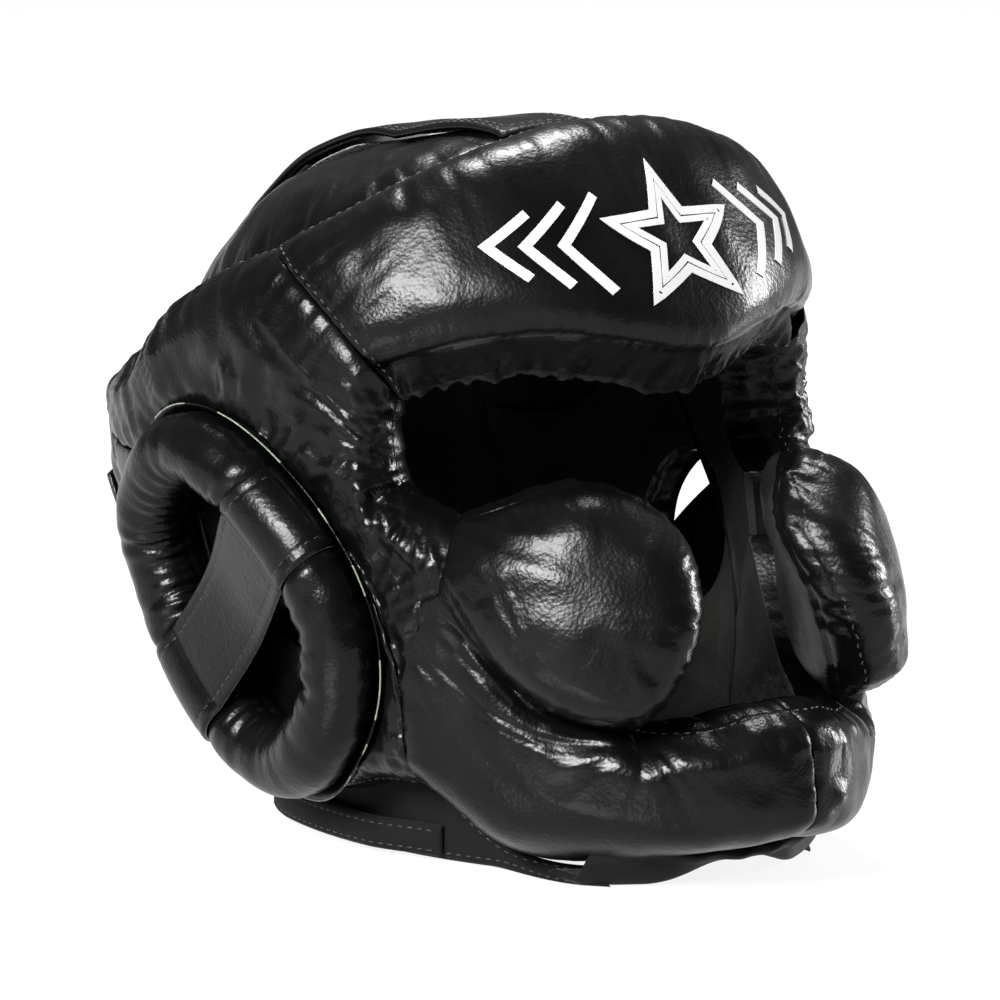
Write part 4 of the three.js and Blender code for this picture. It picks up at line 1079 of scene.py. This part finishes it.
PATCH, GAP, WEBBING = 1.1, 0.35, 2.6          # tape, air between layers, strap
LOOP_BASE = 0.4
HOOK_BASE = LOOP_BASE + PATCH + GAP
TAB_BASE = HOOK_BASE + PATCH + GAP
strip("rear_loop_tape", "shell", ["rear_loop_patch"], form_strip(1, (163, 197), steady(38, 106)),
      (70, 70), LOOP_BASE, LOOP_BASE + PATCH, "loop", rows=(1.8,))
for suffix, side in SIDES:
    strip("wing_pull_tab" + suffix, "wing" + suffix, ["wing_tab" + suffix],
          form_strip(side, (150, 176.5), rounded(42, 102, 0.7)), (70, 80),
          TAB_BASE, TAB_BASE + WEBBING, "leather", rows=(2.2, 5.4), wave=0.25,
          seed=31)
    strip("wing_hook_tape" + suffix, "wing" + suffix, ["wing_hook_patch" + suffix],
          form_strip(side, (164, 175), steady(48, 96)), (30, 60), HOOK_BASE, HOOK_BASE + PATCH,
          "hook", rows=())

BAND_LOW, BAND_HIGH = 10, 13.4
NECK_LOOP = BAND_HIGH + GAP
NECK_HOOK = NECK_LOOP + PATCH + GAP
NECK_STRAP = NECK_HOOK + PATCH + GAP


def level_on(via, angle):
    """Level of an outline at an angle."""
    pts = spline(via, 200)
    order = np.argsort(pts[:, 0])
    return np.interp(angle, pts[order, 0], pts[order, 1])


def band_levels(a, u):
    """The neck band reaches from the ground up to the pads' lower edge."""
    top = np.where(a > 66, level_on(SIDE_BOTTOM, a), level_on(JAW_BOTTOM, a)) + 0.8
    return 0 * a, top


def ease(x):
    x = np.clip(x, 0, 1)
    return x * x * (3 - 2 * x)


def to_throat(a, v):
    """How far the band's foot swings out at its front end to meet the throat strap."""
    return 15 * ease((48 - a) / 20) * (1 - v)


def sewn_start(a, v):
    """The strap lies on the band where it is sewn and clears the tapes further back."""
    return (BAND_HIGH + 0.15 - NECK_STRAP) * (1 - ease((a - 66) / 22))


def plumb(a, v):
    return 0 * a


for suffix, side in SIDES:
    strip("neck_web" + suffix, "shell", ["neck_band" + suffix],
          form_strip(side, (24, 136), band_levels, upright=to_throat), (190, 14), BAND_LOW,
          BAND_HIGH, "webbing", rows=(2.4,), wave=0.12, seed=41)
strip("neck_pull_strap", "neck_flap", ["neck_strap"],
      form_strip(-1, (62, 133), rounded(1.2, 11.4, 0.9), upright=sewn_start), (130, 14),
      NECK_STRAP, NECK_STRAP + WEBBING, "webbing", rows=(1.9,), wave=0.1, seed=43)
strip("neck_loop_tape", "shell", ["neck_loop_patch"],
      form_strip(-1, (92, 128), steady(2.2, 10.4), upright=plumb), (60, 12),
      NECK_LOOP, NECK_LOOP + PATCH, "loop", rows=())
strip("neck_hook_tape", "neck_flap", ["neck_hook_patch"],
      form_strip(-1, (100, 127), steady(2.2, 10.4), upright=plumb), (50, 12),
      NECK_HOOK, NECK_HOOK + PATCH, "hook", rows=())


def throat(u, v, h):
    """Across under the chin, with its front edge turned up to the chin bar."""
    x = -48 + 96 * u
    front = -20 + 18 * (x / 44) ** 2 + SHIFT
    turn = (math.pi / 2) * np.minimum(np.abs(x) / 30, 1)
    curl = 5.5 * ease((np.abs(x) - 4) / 14) + 5 * ease((np.abs(x) - 16) / 16)
    curl = curl * (1 - ease(v / 0.45))
    return np.stack([x, front + v * 24, 8 * np.cos(turn) ** 2 + curl + h], -1)


strip("throat_web", "shell", ["throat_strap"], throat, (90, 26), 0, 3, "webbing",
      rows=(2.4,), seed=45)

# ---- ear rings ----------------------------------------------------------------
def on_side(side, p, q, h):
    """A point of the ring's own plane, wrapped onto the side and raised by h."""
    y = RING_Y + p * math.cos(LEAN) + q * math.sin(LEAN) + SHIFT
    z = RING_Z - p * math.sin(LEAN) + q * math.cos(LEAN)
    a = angle_at(y, z)
    return (outer(a, z) + outward(a, z) * np.asarray(h)[..., None]) * [side, 1, 1]


def even_turns(count):
    """Angles round the oval at even spacing along it."""
    t = np.linspace(0, 2 * math.pi, 2001)
    p, q, _ = oval(t)
    s = along(np.stack([p, q], -1))
    return np.interp(np.linspace(0, s[-1], count, endpoint=False), s, t), s[-1]


def away_from(turn, centre):
    """How far a turn is past a centre in degrees, within half a circle either way."""
    return (turn - math.radians(centre) + math.pi) % (2 * math.pi) - math.pi


def ring_tube(side, suffix, seed):
    """Padded leather tube with creases towards the hole and towards the panel."""
    turns, around = ((300, 64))
    t, length = even_turns(turns)
    p, q, n = oval(t)
    s = np.arange(turns) * length / turns
    # round the tube: 0 is outermost, a quarter turn on is away from the hole
    phi = np.linspace(0, 2 * math.pi, around, endpoint=False)
    rng = np.random.default_rng(seed)
    sg, pg = np.meshgrid(s, phi, indexing="ij")
    relief = np.zeros_like(sg)
    for centre, amp, wide, reach, step in ((-88, 1.7, 1.0, 1.15, 4.4), (112, 1.1, 1.1, 0.8, 5.6)):
        at = 0.0
        while at < length:
            a = amp * rng.uniform(0.4, 1.2)
            run = reach * rng.uniform(0.55, 1.45)
            d = np.abs(away_from(pg, centre))
            x = (sg - at - rng.normal(0, 0.9) * d + length / 2) % length - length / 2
            w = wide * rng.uniform(0.8, 1.3) * (1 + 0.7 * d)
            relief -= a * np.exp(-(x / w) ** 2 / 2) * np.exp(-(d / run) ** 1.8)
            at += step * rng.uniform(0.65, 1.35)
    cyl = np.stack([28 * np.cos(sg / length * 2 * math.pi), 28 * np.sin(sg / length * 2 * math.pi),
                    10 * np.sin(pg)], -1)
    relief += 0.45 * noise3(cyl, 12, seed + 1) + 0.2 * noise3(cyl, 5, seed + 2)
    relief -= 0.9 * np.exp(-(away_from(pg, -118) / 0.06) ** 2)          # its seam
    # pressed in where the strap goes round it
    q_line = q[:, None] + n[:, None, 1] * RING_TUBE * np.sin(pg)
    squeeze = 1 / (1 + np.exp((np.abs(q_line) - 17.0) / 0.9))
    outside = np.clip((np.cos(pg - 0.35) + 0.45) / 0.5, 0, 1)
    relief = relief * (1 - 0.8 * squeeze * outside) - 3.0 * squeeze * outside
    r = RING_TUBE + relief
    across = r * np.sin(pg)
    # flattened where it is sewn to the panel
    height = np.maximum(r * np.cos(pg), -RING_TUBE * 0.97)
    grid = on_side(side, p[:, None] + n[:, None, 0] * across, q[:, None] + n[:, None, 1] * across,
                   height)
    build = Build()
    nrm = normals_of(grid, (True, True))
    mid = on_side(side, p[:, None] + 0 * across, q[:, None] + 0 * across, 0 * across)
    sign = 1.0 if (nrm * (grid - mid)).sum() > 0 else -1.0
    uv = np.stack([sg, pg * RING_TUBE], -1) * MM
    build.add(grid, grid_faces(turns, around, sign < 0, True, True), 0, uv)
    hand_in(build.object("ear_ring" + suffix, ["ring_leather"]), "shell",
            ["ear_ring_cover" + suffix, "ear_ring_foam" + suffix])


def ring_skirt(side, suffix, seed, turns=260):
    """Leather skirt under the ring, with a cut edge that shows pale here and there."""
    t, length = even_turns(turns)
    p, q, n = oval(t)
    s = np.arange(turns) * length / turns
    loop_at = np.stack([30 * np.cos(s / length * 2 * math.pi), 30 * np.sin(s / length * 2 * math.pi),
                        0 * s], -1)
    frill = noise3(loop_at, 9, seed) * 0.5
    lift = 0.5 + 0.45 * noise3(loop_at, 7, seed + 1)
    # distance out from the ring's centre line, height, and whether it is cut edge
    cross = [(-6.0, 0.35, 0), (2.0, 0.35, 0), (9.0, 0.35, 0), (12.0, 0.4, 0), (13.6, 0.45, 0),
             (14.9, 0.5, 1), (15.4, 0.8, 1), (15.4, 1.2, 1), (15.0, 1.5, 0), (14.2, 1.55, 0),
             (13.2, 1.5, 0), (11.6, 1.5, 0), (9.0, 1.5, 0), (2.0, 1.5, 0), (-6.0, 1.5, 0)]
    pale = noise3(loop_at, 13, seed + 2) + 0.5 * noise3(loop_at, 4, seed + 3) > -0.1
    grid = []
    for across, h, _ in cross:
        grow = max(across - 12, 0) / 5
        a = across + frill * grow
        grid.append(on_side(side, p + n[:, 0] * a, q + n[:, 1] * a,
                            h + lift * grow - bowl_depth(a)))
    grid = np.array(grid)
    build = Build()
    nrm = normals_of(grid, (False, True))
    mid = grid.mean(0, keepdims=True)
    sign = 1.0 if (nrm[5:10] * (grid[5:10] - mid)).sum() > 0 else -1.0
    cut = [c[2] for c in cross]
    mats = [1 if (here or after) and shown else 0
            for here, after in zip(cut, cut[1:] + cut[:1]) for shown in pale]
    build.add(grid, grid_faces(len(cross), turns, sign < 0, True, True), mats)
    hand_in(build.object("ear_skirt" + suffix, ["leather", "raw_edge"]), "shell",
            ["ear_flange" + suffix])


def strap_surface(side):
    """Band over the ring: down its outer wall at both ends, sagging across the hole."""
    def surface(u, v, h):
        q = (v - 0.5) * 33
        centre = RING_MINOR * (1 - (np.abs(q) / RING_MAJOR) ** RING_SQUARE) ** (1 / RING_SQUARE)
        r = RING_TUBE - 2.2 + h
        wall, dip = 5 / 14, 4 / 14
        k = np.where(u <= wall, 1 - u / wall, (u - wall - dip) / wall)
        turn = np.radians(-50 + 152 * np.clip(k, 0, 1))
        p_wall = centre + r * np.sin(turn)
        h_wall = r * np.cos(turn)
        w = np.clip((u - wall) / dip, 0, 1)
        w = ease(w) * 0.35 + w * 0.65
        reach = centre - r * math.sin(math.radians(50))
        p_dip = -reach + 2 * reach * w
        h_dip = r * math.cos(math.radians(50)) - 6 * np.sin(math.pi * w)
        middle = (u > wall) & (u < wall + dip)
        p = np.where(middle, p_dip, np.where(u > 0.5, p_wall, -p_wall))
        height = np.where(middle, h_dip, h_wall)
        return on_side(side, p, q, height)
    return surface


for suffix, side in SIDES:
    ring_tube(side, suffix, 900 + side)
    ring_skirt(side, suffix, 950 + side)
    strip("ear_band" + suffix, "shell", ["ear_strap" + suffix], strap_surface(side), (170, 44),
          0.1, 2.1, "leather", rows=(4.0,), raw=True, wave=0.2, seed=61, ends=False)

# ---- crown ----------------------------------------------------------------------
RIM = np.array(FOREHEAD_TOP[4:] + TEMPLE_TOP[-2::-1] + REAR_TOP[:2], float)
CROWN_N = 110
N = CROWN_N + 1                   # points along each side of the crown's grid


def crown_rim(start, end, steps):
    a = np.linspace(start, end, steps + 1)
    turned = np.where(np.abs(a) > 180, 360 - np.abs(a), np.abs(a))
    p = inner(a, smooth(turned, RIM[:, 0], RIM[:, 1]))
    middle = np.stack([0 * a, 30 + 0 * a, p[:, 2]], -1)
    return p - unit(middle - p) * 0.7          # tucked into the seam under the pads


def crown_grid(n):
    """A dome over the rim, and each point's distance from the rim."""
    sides = (crown_rim(-45, 45, n), crown_rim(225, 135, n),
             crown_rim(-45, -135, n), crown_rim(45, 135, n))
    grid = coons(*sides)
    d = np.minimum.reduce([foot(grid.reshape(-1, 3), line)[0] for line in sides])
    d = d.reshape(n + 1, n + 1)
    grid[..., 2] += (20 + 32 * np.linspace(0, 1, n + 1)) * rise(d / 70)
    return grid, d


crown, crown_edge = crown_grid(CROWN_N)
crown_normal = normals_of(crown)
CROWN_SIGN = 1.0 if crown_normal[..., 2].sum() > 0 else -1.0
crown_normal *= np.where(crown_normal[..., 2:] < 0, -1, 1)


def crown_relief():
    relief = 0.3 * noise3(crown, 26, 71) + 0.1 * noise3(crown, 10, 72)
    relief -= 0.5 * np.exp(-((crown_edge - 3.2) / 1.0) ** 2)
    relief += settle(crown, 0.3, 73)
    outline = np.concatenate([crown_rim(-45, 45, 60), crown_rim(45, 225, 120),
                              crown_rim(-135, -45, 60)])
    d, s = foot(crown.reshape(-1, 3), outline)
    relief += puckers(d, s, along(outline)[-1], 0.7, 20, 7, 74).reshape(N, N)
    relief += gathers(d, s, 0.5, 26, 3.4, 78).reshape(N, N)
    under_strap = (np.abs(crown[..., 0]) < 23) & (crown[..., 1] < 128)
    relief = np.where(under_strap, np.minimum(relief, 0.15), relief)
    return relief * np.clip(crown_edge / 5, 0, 1)


def crown_creases():
    under = 0.5 * noise3(crown, 18, 75) + 0.25 * noise3(crown, 8, 76)
    row = np.abs((crown[..., 0] + 240) % 34 - 17)
    under -= 0.9 * np.exp(-((17 - row) / 1.6) ** 2)
    return under * np.clip(crown_edge / 6, 0, 1)


def crown_sheet(name, high, low, replaces, mat):
    """A closed sheet between two heights over the dome, measured outwards from it."""
    build = Build()
    top, bottom = (crown + crown_normal * np.asarray(h)[..., None] for h in (high, low))
    build.add(top, grid_faces(N, N, CROWN_SIGN < 0), 0, top[..., :2] * MM)
    build.add(bottom, grid_faces(N, N, CROWN_SIGN > 0), 0, top[..., :2] * MM)
    ii, jj = rim(N, N)
    build.add([top[ii, jj], bottom[ii, jj]], grid_faces(2, len(ii), CROWN_SIGN > 0, wrap_v=True))
    hand_in(build.object(name, [mat]), "shell", [replaces])


crown_sheet("crown_top", crown_relief() - 0.2, -1.5, "crown_cover", "leather")
crown_sheet("crown_inside", -3.6, -5.4 - crown_creases(), "crown_lining", "lining")
ridge = crown[CROWN_N // 2]
ridge_order = np.argsort(ridge[:, 1])


def crown_height(y):
    return np.interp(y, ridge[ridge_order, 1], ridge[ridge_order, 2])


CROSS = np.linspace(-24, 24, 17)  # places across the strap
FALL = np.array([np.interp(CROSS, crown[:, m, 0], crown[:, m, 2]) for m in range(N)])
FALL = (FALL + FALL[:, ::-1]) / 2 - FALL[:, [8]]


def crown_fall(x, y):
    """How far the crown drops from its middle line to a place beside it."""
    row = np.interp(y, ridge[ridge_order, 1], ridge_order)
    col = np.interp(x, CROSS, np.arange(len(CROSS)))
    r, c = np.clip(row.astype(int), 0, N - 2), np.clip(col.astype(int), 0, len(CROSS) - 2)
    fr, fc = row - r, col - c
    return ((FALL[r, c] * (1 - fc) + FALL[r, c + 1] * fc) * (1 - fr)
            + (FALL[r + 1, c] * (1 - fc) + FALL[r + 1, c + 1] * fc) * fr)


CROWN_LOOP = 0.5
CROWN_HOOK = CROWN_LOOP + PATCH + GAP
CROWN_STRAP = CROWN_HOOK + PATCH + GAP


def crown_strip(start, end, half, round_end):
    """Surface for strip(): a band along the crown's middle line. The strap has a round end,
    and lies down on the crown in front of the tapes."""
    def surface(u, v, h):
        y = start + (end - start) * u
        slope = (crown_height(y + 4) - crown_height(y - 4)) / 8
        up = unit(np.stack([0 * y, -slope, 1 + 0 * y], -1))
        t = np.clip((u - 0.88) / 0.12, 0, 1)
        w = half * (1 - 0.4 * (1 - np.sqrt(1 - t * t))) if round_end else half + 0 * u
        x = (v * 2 - 1) * w
        p = np.stack([x, y, crown_height(y) + crown_fall(x, y)], -1)
        lie = (CROWN_STRAP - 0.45) * (1 - rise(np.clip((y - 34) / 22, 0, 1)) ** 2) if round_end else 0
        return p + up * (h - lie)[..., None]
    return surface


strip("crown_pull_strap", "crown_flap", ["crown_strap"], crown_strip(-22, 124, 19, True), (150, 40),
      CROWN_STRAP, CROWN_STRAP + WEBBING, "leather", rows=(2.4, 5.2), wave=0.3, seed=81)
strip("crown_loop_tape", "shell", ["crown_loop_patch"], crown_strip(58, 112, 16, False), (60, 34),
      CROWN_LOOP, CROWN_LOOP + PATCH, "loop", rows=(1.8,))
strip("crown_hook_tape", "crown_flap", ["crown_hook_patch"], crown_strip(84, 116, 16, False),
      (40, 34), CROWN_HOOK, CROWN_HOOK + PATCH, "hook", rows=())


# ---- white mark on the forehead: a plain outlined star between chevrons ------------
def ribbon(points, half, closed=True):
    """Left and right sides of an outline of even width, mitred at its corners."""
    pts = np.asarray(points, float)
    ahead = np.roll(pts, -1, 0) - pts
    behind = pts - np.roll(pts, 1, 0)
    if not closed:
        ahead[-1], behind[0] = behind[-1], ahead[0]
    a, b = unit(ahead), unit(behind)
    na, nb = np.stack([-a[:, 1], a[:, 0]], -1), np.stack([-b[:, 1], b[:, 0]], -1)
    m = unit(na + nb)
    m = m / np.maximum((m * na).sum(-1, keepdims=True), 0.45)
    return pts + m * half, pts - m * half


def dense(points, step, closed=True):
    pts = np.asarray(points, float)
    if closed:
        pts = np.concatenate([pts, pts[:1]])
    out = []
    for a, b in zip(pts[:-1], pts[1:]):
        n = max(int(np.linalg.norm(b - a) / step), 1)
        out.extend(a + (b - a) * k / n for k in range(n))
    if not closed:
        out.append(pts[-1])
    return np.array(out)


def star_outline(radius, inner_radius, count=5):
    turns = [math.pi / 2 + math.pi * k / count for k in range(count * 2)]
    radii = [radius, inner_radius] * count
    return [[r * math.cos(t), r * math.sin(t)] for r, t in zip(radii, turns)]


MARK_LEVEL = 198.0
mark = Build()


def forehead_point(xy, lift):
    """Puts flat mark coordinates, in millimetres, onto the forehead cover."""
    a = xy[..., 0] / 1.75
    z = MARK_LEVEL + xy[..., 1] * 0.93
    flat_a, flat_z, flat_h = forehead.a.ravel(), forehead.z.ravel(), forehead.h.ravel()
    h = []
    for aa, zz in zip(np.ravel(a), np.ravel(z)):
        d = (flat_a - aa) ** 2 * 3 + (flat_z - zz) ** 2
        k = np.argpartition(d, 6)[:6]
        w = 1 / (d[k] + 0.05)
        h.append((flat_h[k] * w).sum() / w.sum())
    return layered(a, z, np.array(h).reshape(a.shape) + lift)


def print_shape(left, right, closed):
    n = len(left)
    cols = np.linspace(0, 1, 5)
    xy = left[:, None] * (1 - cols[None, :, None]) + right[:, None] * cols[None, :, None]
    top = forehead_point(xy, 0.32)
    low = forehead_point(xy, -0.6)
    nrm = normals_of(top, (closed, False))
    sign = (nrm * (top - low)).sum()
    mark.add(top, grid_faces(n, 5, sign < 0, wrap_u=closed), 0)
    for j in (0, 4):
        pair = np.stack([top[:, j], low[:, j]], 1)
        mark.add(pair, grid_faces(n, 2, (sign < 0) == (j == 4), wrap_u=closed), 0)


for radius, small, half in ((22, 9.6, 1.25), (15.5, 6.4, 0.95)):
    pts = dense(star_outline(radius, small), 1.4)
    print_shape(*ribbon(pts, half), True)
for way in (-1, 1):
    for reach, tall in ((31, 15), (42, 12.5), (53, 10)):
        v = [[way * (reach - 7), tall], [way * (reach + 5), 0], [way * (reach - 7), -tall]]
        print_shape(*ribbon(dense(v, 1.4, False), 1.5, False), False)
hand_in(mark.object("forehead_mark", ["mark"]), "shell")

# ---- stage, light and camera ---------------------------------------------------------
FLOOR_HALF, FLOOR_LEVEL = 14.0, -0.0006


def floor():
    me = bpy.data.meshes.new("floor")
    corners = ((-1, -1), (1, -1), (1, 1), (-1, 1))
    me.from_pydata([(FLOOR_HALF * x, FLOOR_HALF * y, FLOOR_LEVEL) for x, y in corners], [],
                   [[0, 1, 2, 3]])
    me.materials.append(MATERIALS["floor"])
    ob = bpy.data.objects.new("floor", me)
    bpy.context.scene.collection.objects.link(ob)


def sky(strength):
    world = bpy.data.worlds.new("studio")
    bpy.context.scene.world = world
    world.use_nodes = True
    feed(world.node_tree, world.node_tree.nodes["Background"],
         {"Color": (1, 1, 1, 1), "Strength": strength})


def aimed(name, data, at, way):
    """Places a light or camera that looks along way."""
    ob = bpy.data.objects.new(name, data)
    ob.location = at
    ob.rotation_mode = "QUATERNION"
    ob.rotation_quaternion = Vector(way).to_track_quat("-Z", "Y")
    bpy.context.scene.collection.objects.link(ob)
    return ob


def area(name, at, target, size, power):
    data = bpy.data.lights.new(name, "AREA")
    data.shape = "RECTANGLE"
    data.size, data.size_y = size
    data.energy = power
    aimed(name, data, at, Vector(target) - Vector(at))


def camera(distance):
    """Looks at the right cheek from in front and a little above, with a long lens."""
    data = bpy.data.cameras.new("camera")
    data.lens, data.sensor_width, data.clip_end = 267.8, 36, 50
    back = Vector((-0.6063, -0.7760, 0.1736)).normalized()
    right = Vector((0.7880, -0.6157, 0.0))
    aim = Vector((0, 0.0075, 0.125)) + right * 0.0029 - back.cross(right) * 0.0227
    bpy.context.scene.camera = aimed("camera", data, aim + back * distance, -back)


floor()
sky(0.14)
area("top_box", (0.5, 0.7, 1.9), (0, 0, 0.1), (0.7, 0.7), 68)
area("left_box", (-1.65, -0.55, 1.05), (0, 0, 0.12), (0.75, 0.6), 110)
area("right_box", (1.6, -0.45, 0.55), (0, 0, 0.12), (0.25, 0.8), 38)
camera(2.4)
bpy.context.scene.view_settings.view_transform = "Standard"
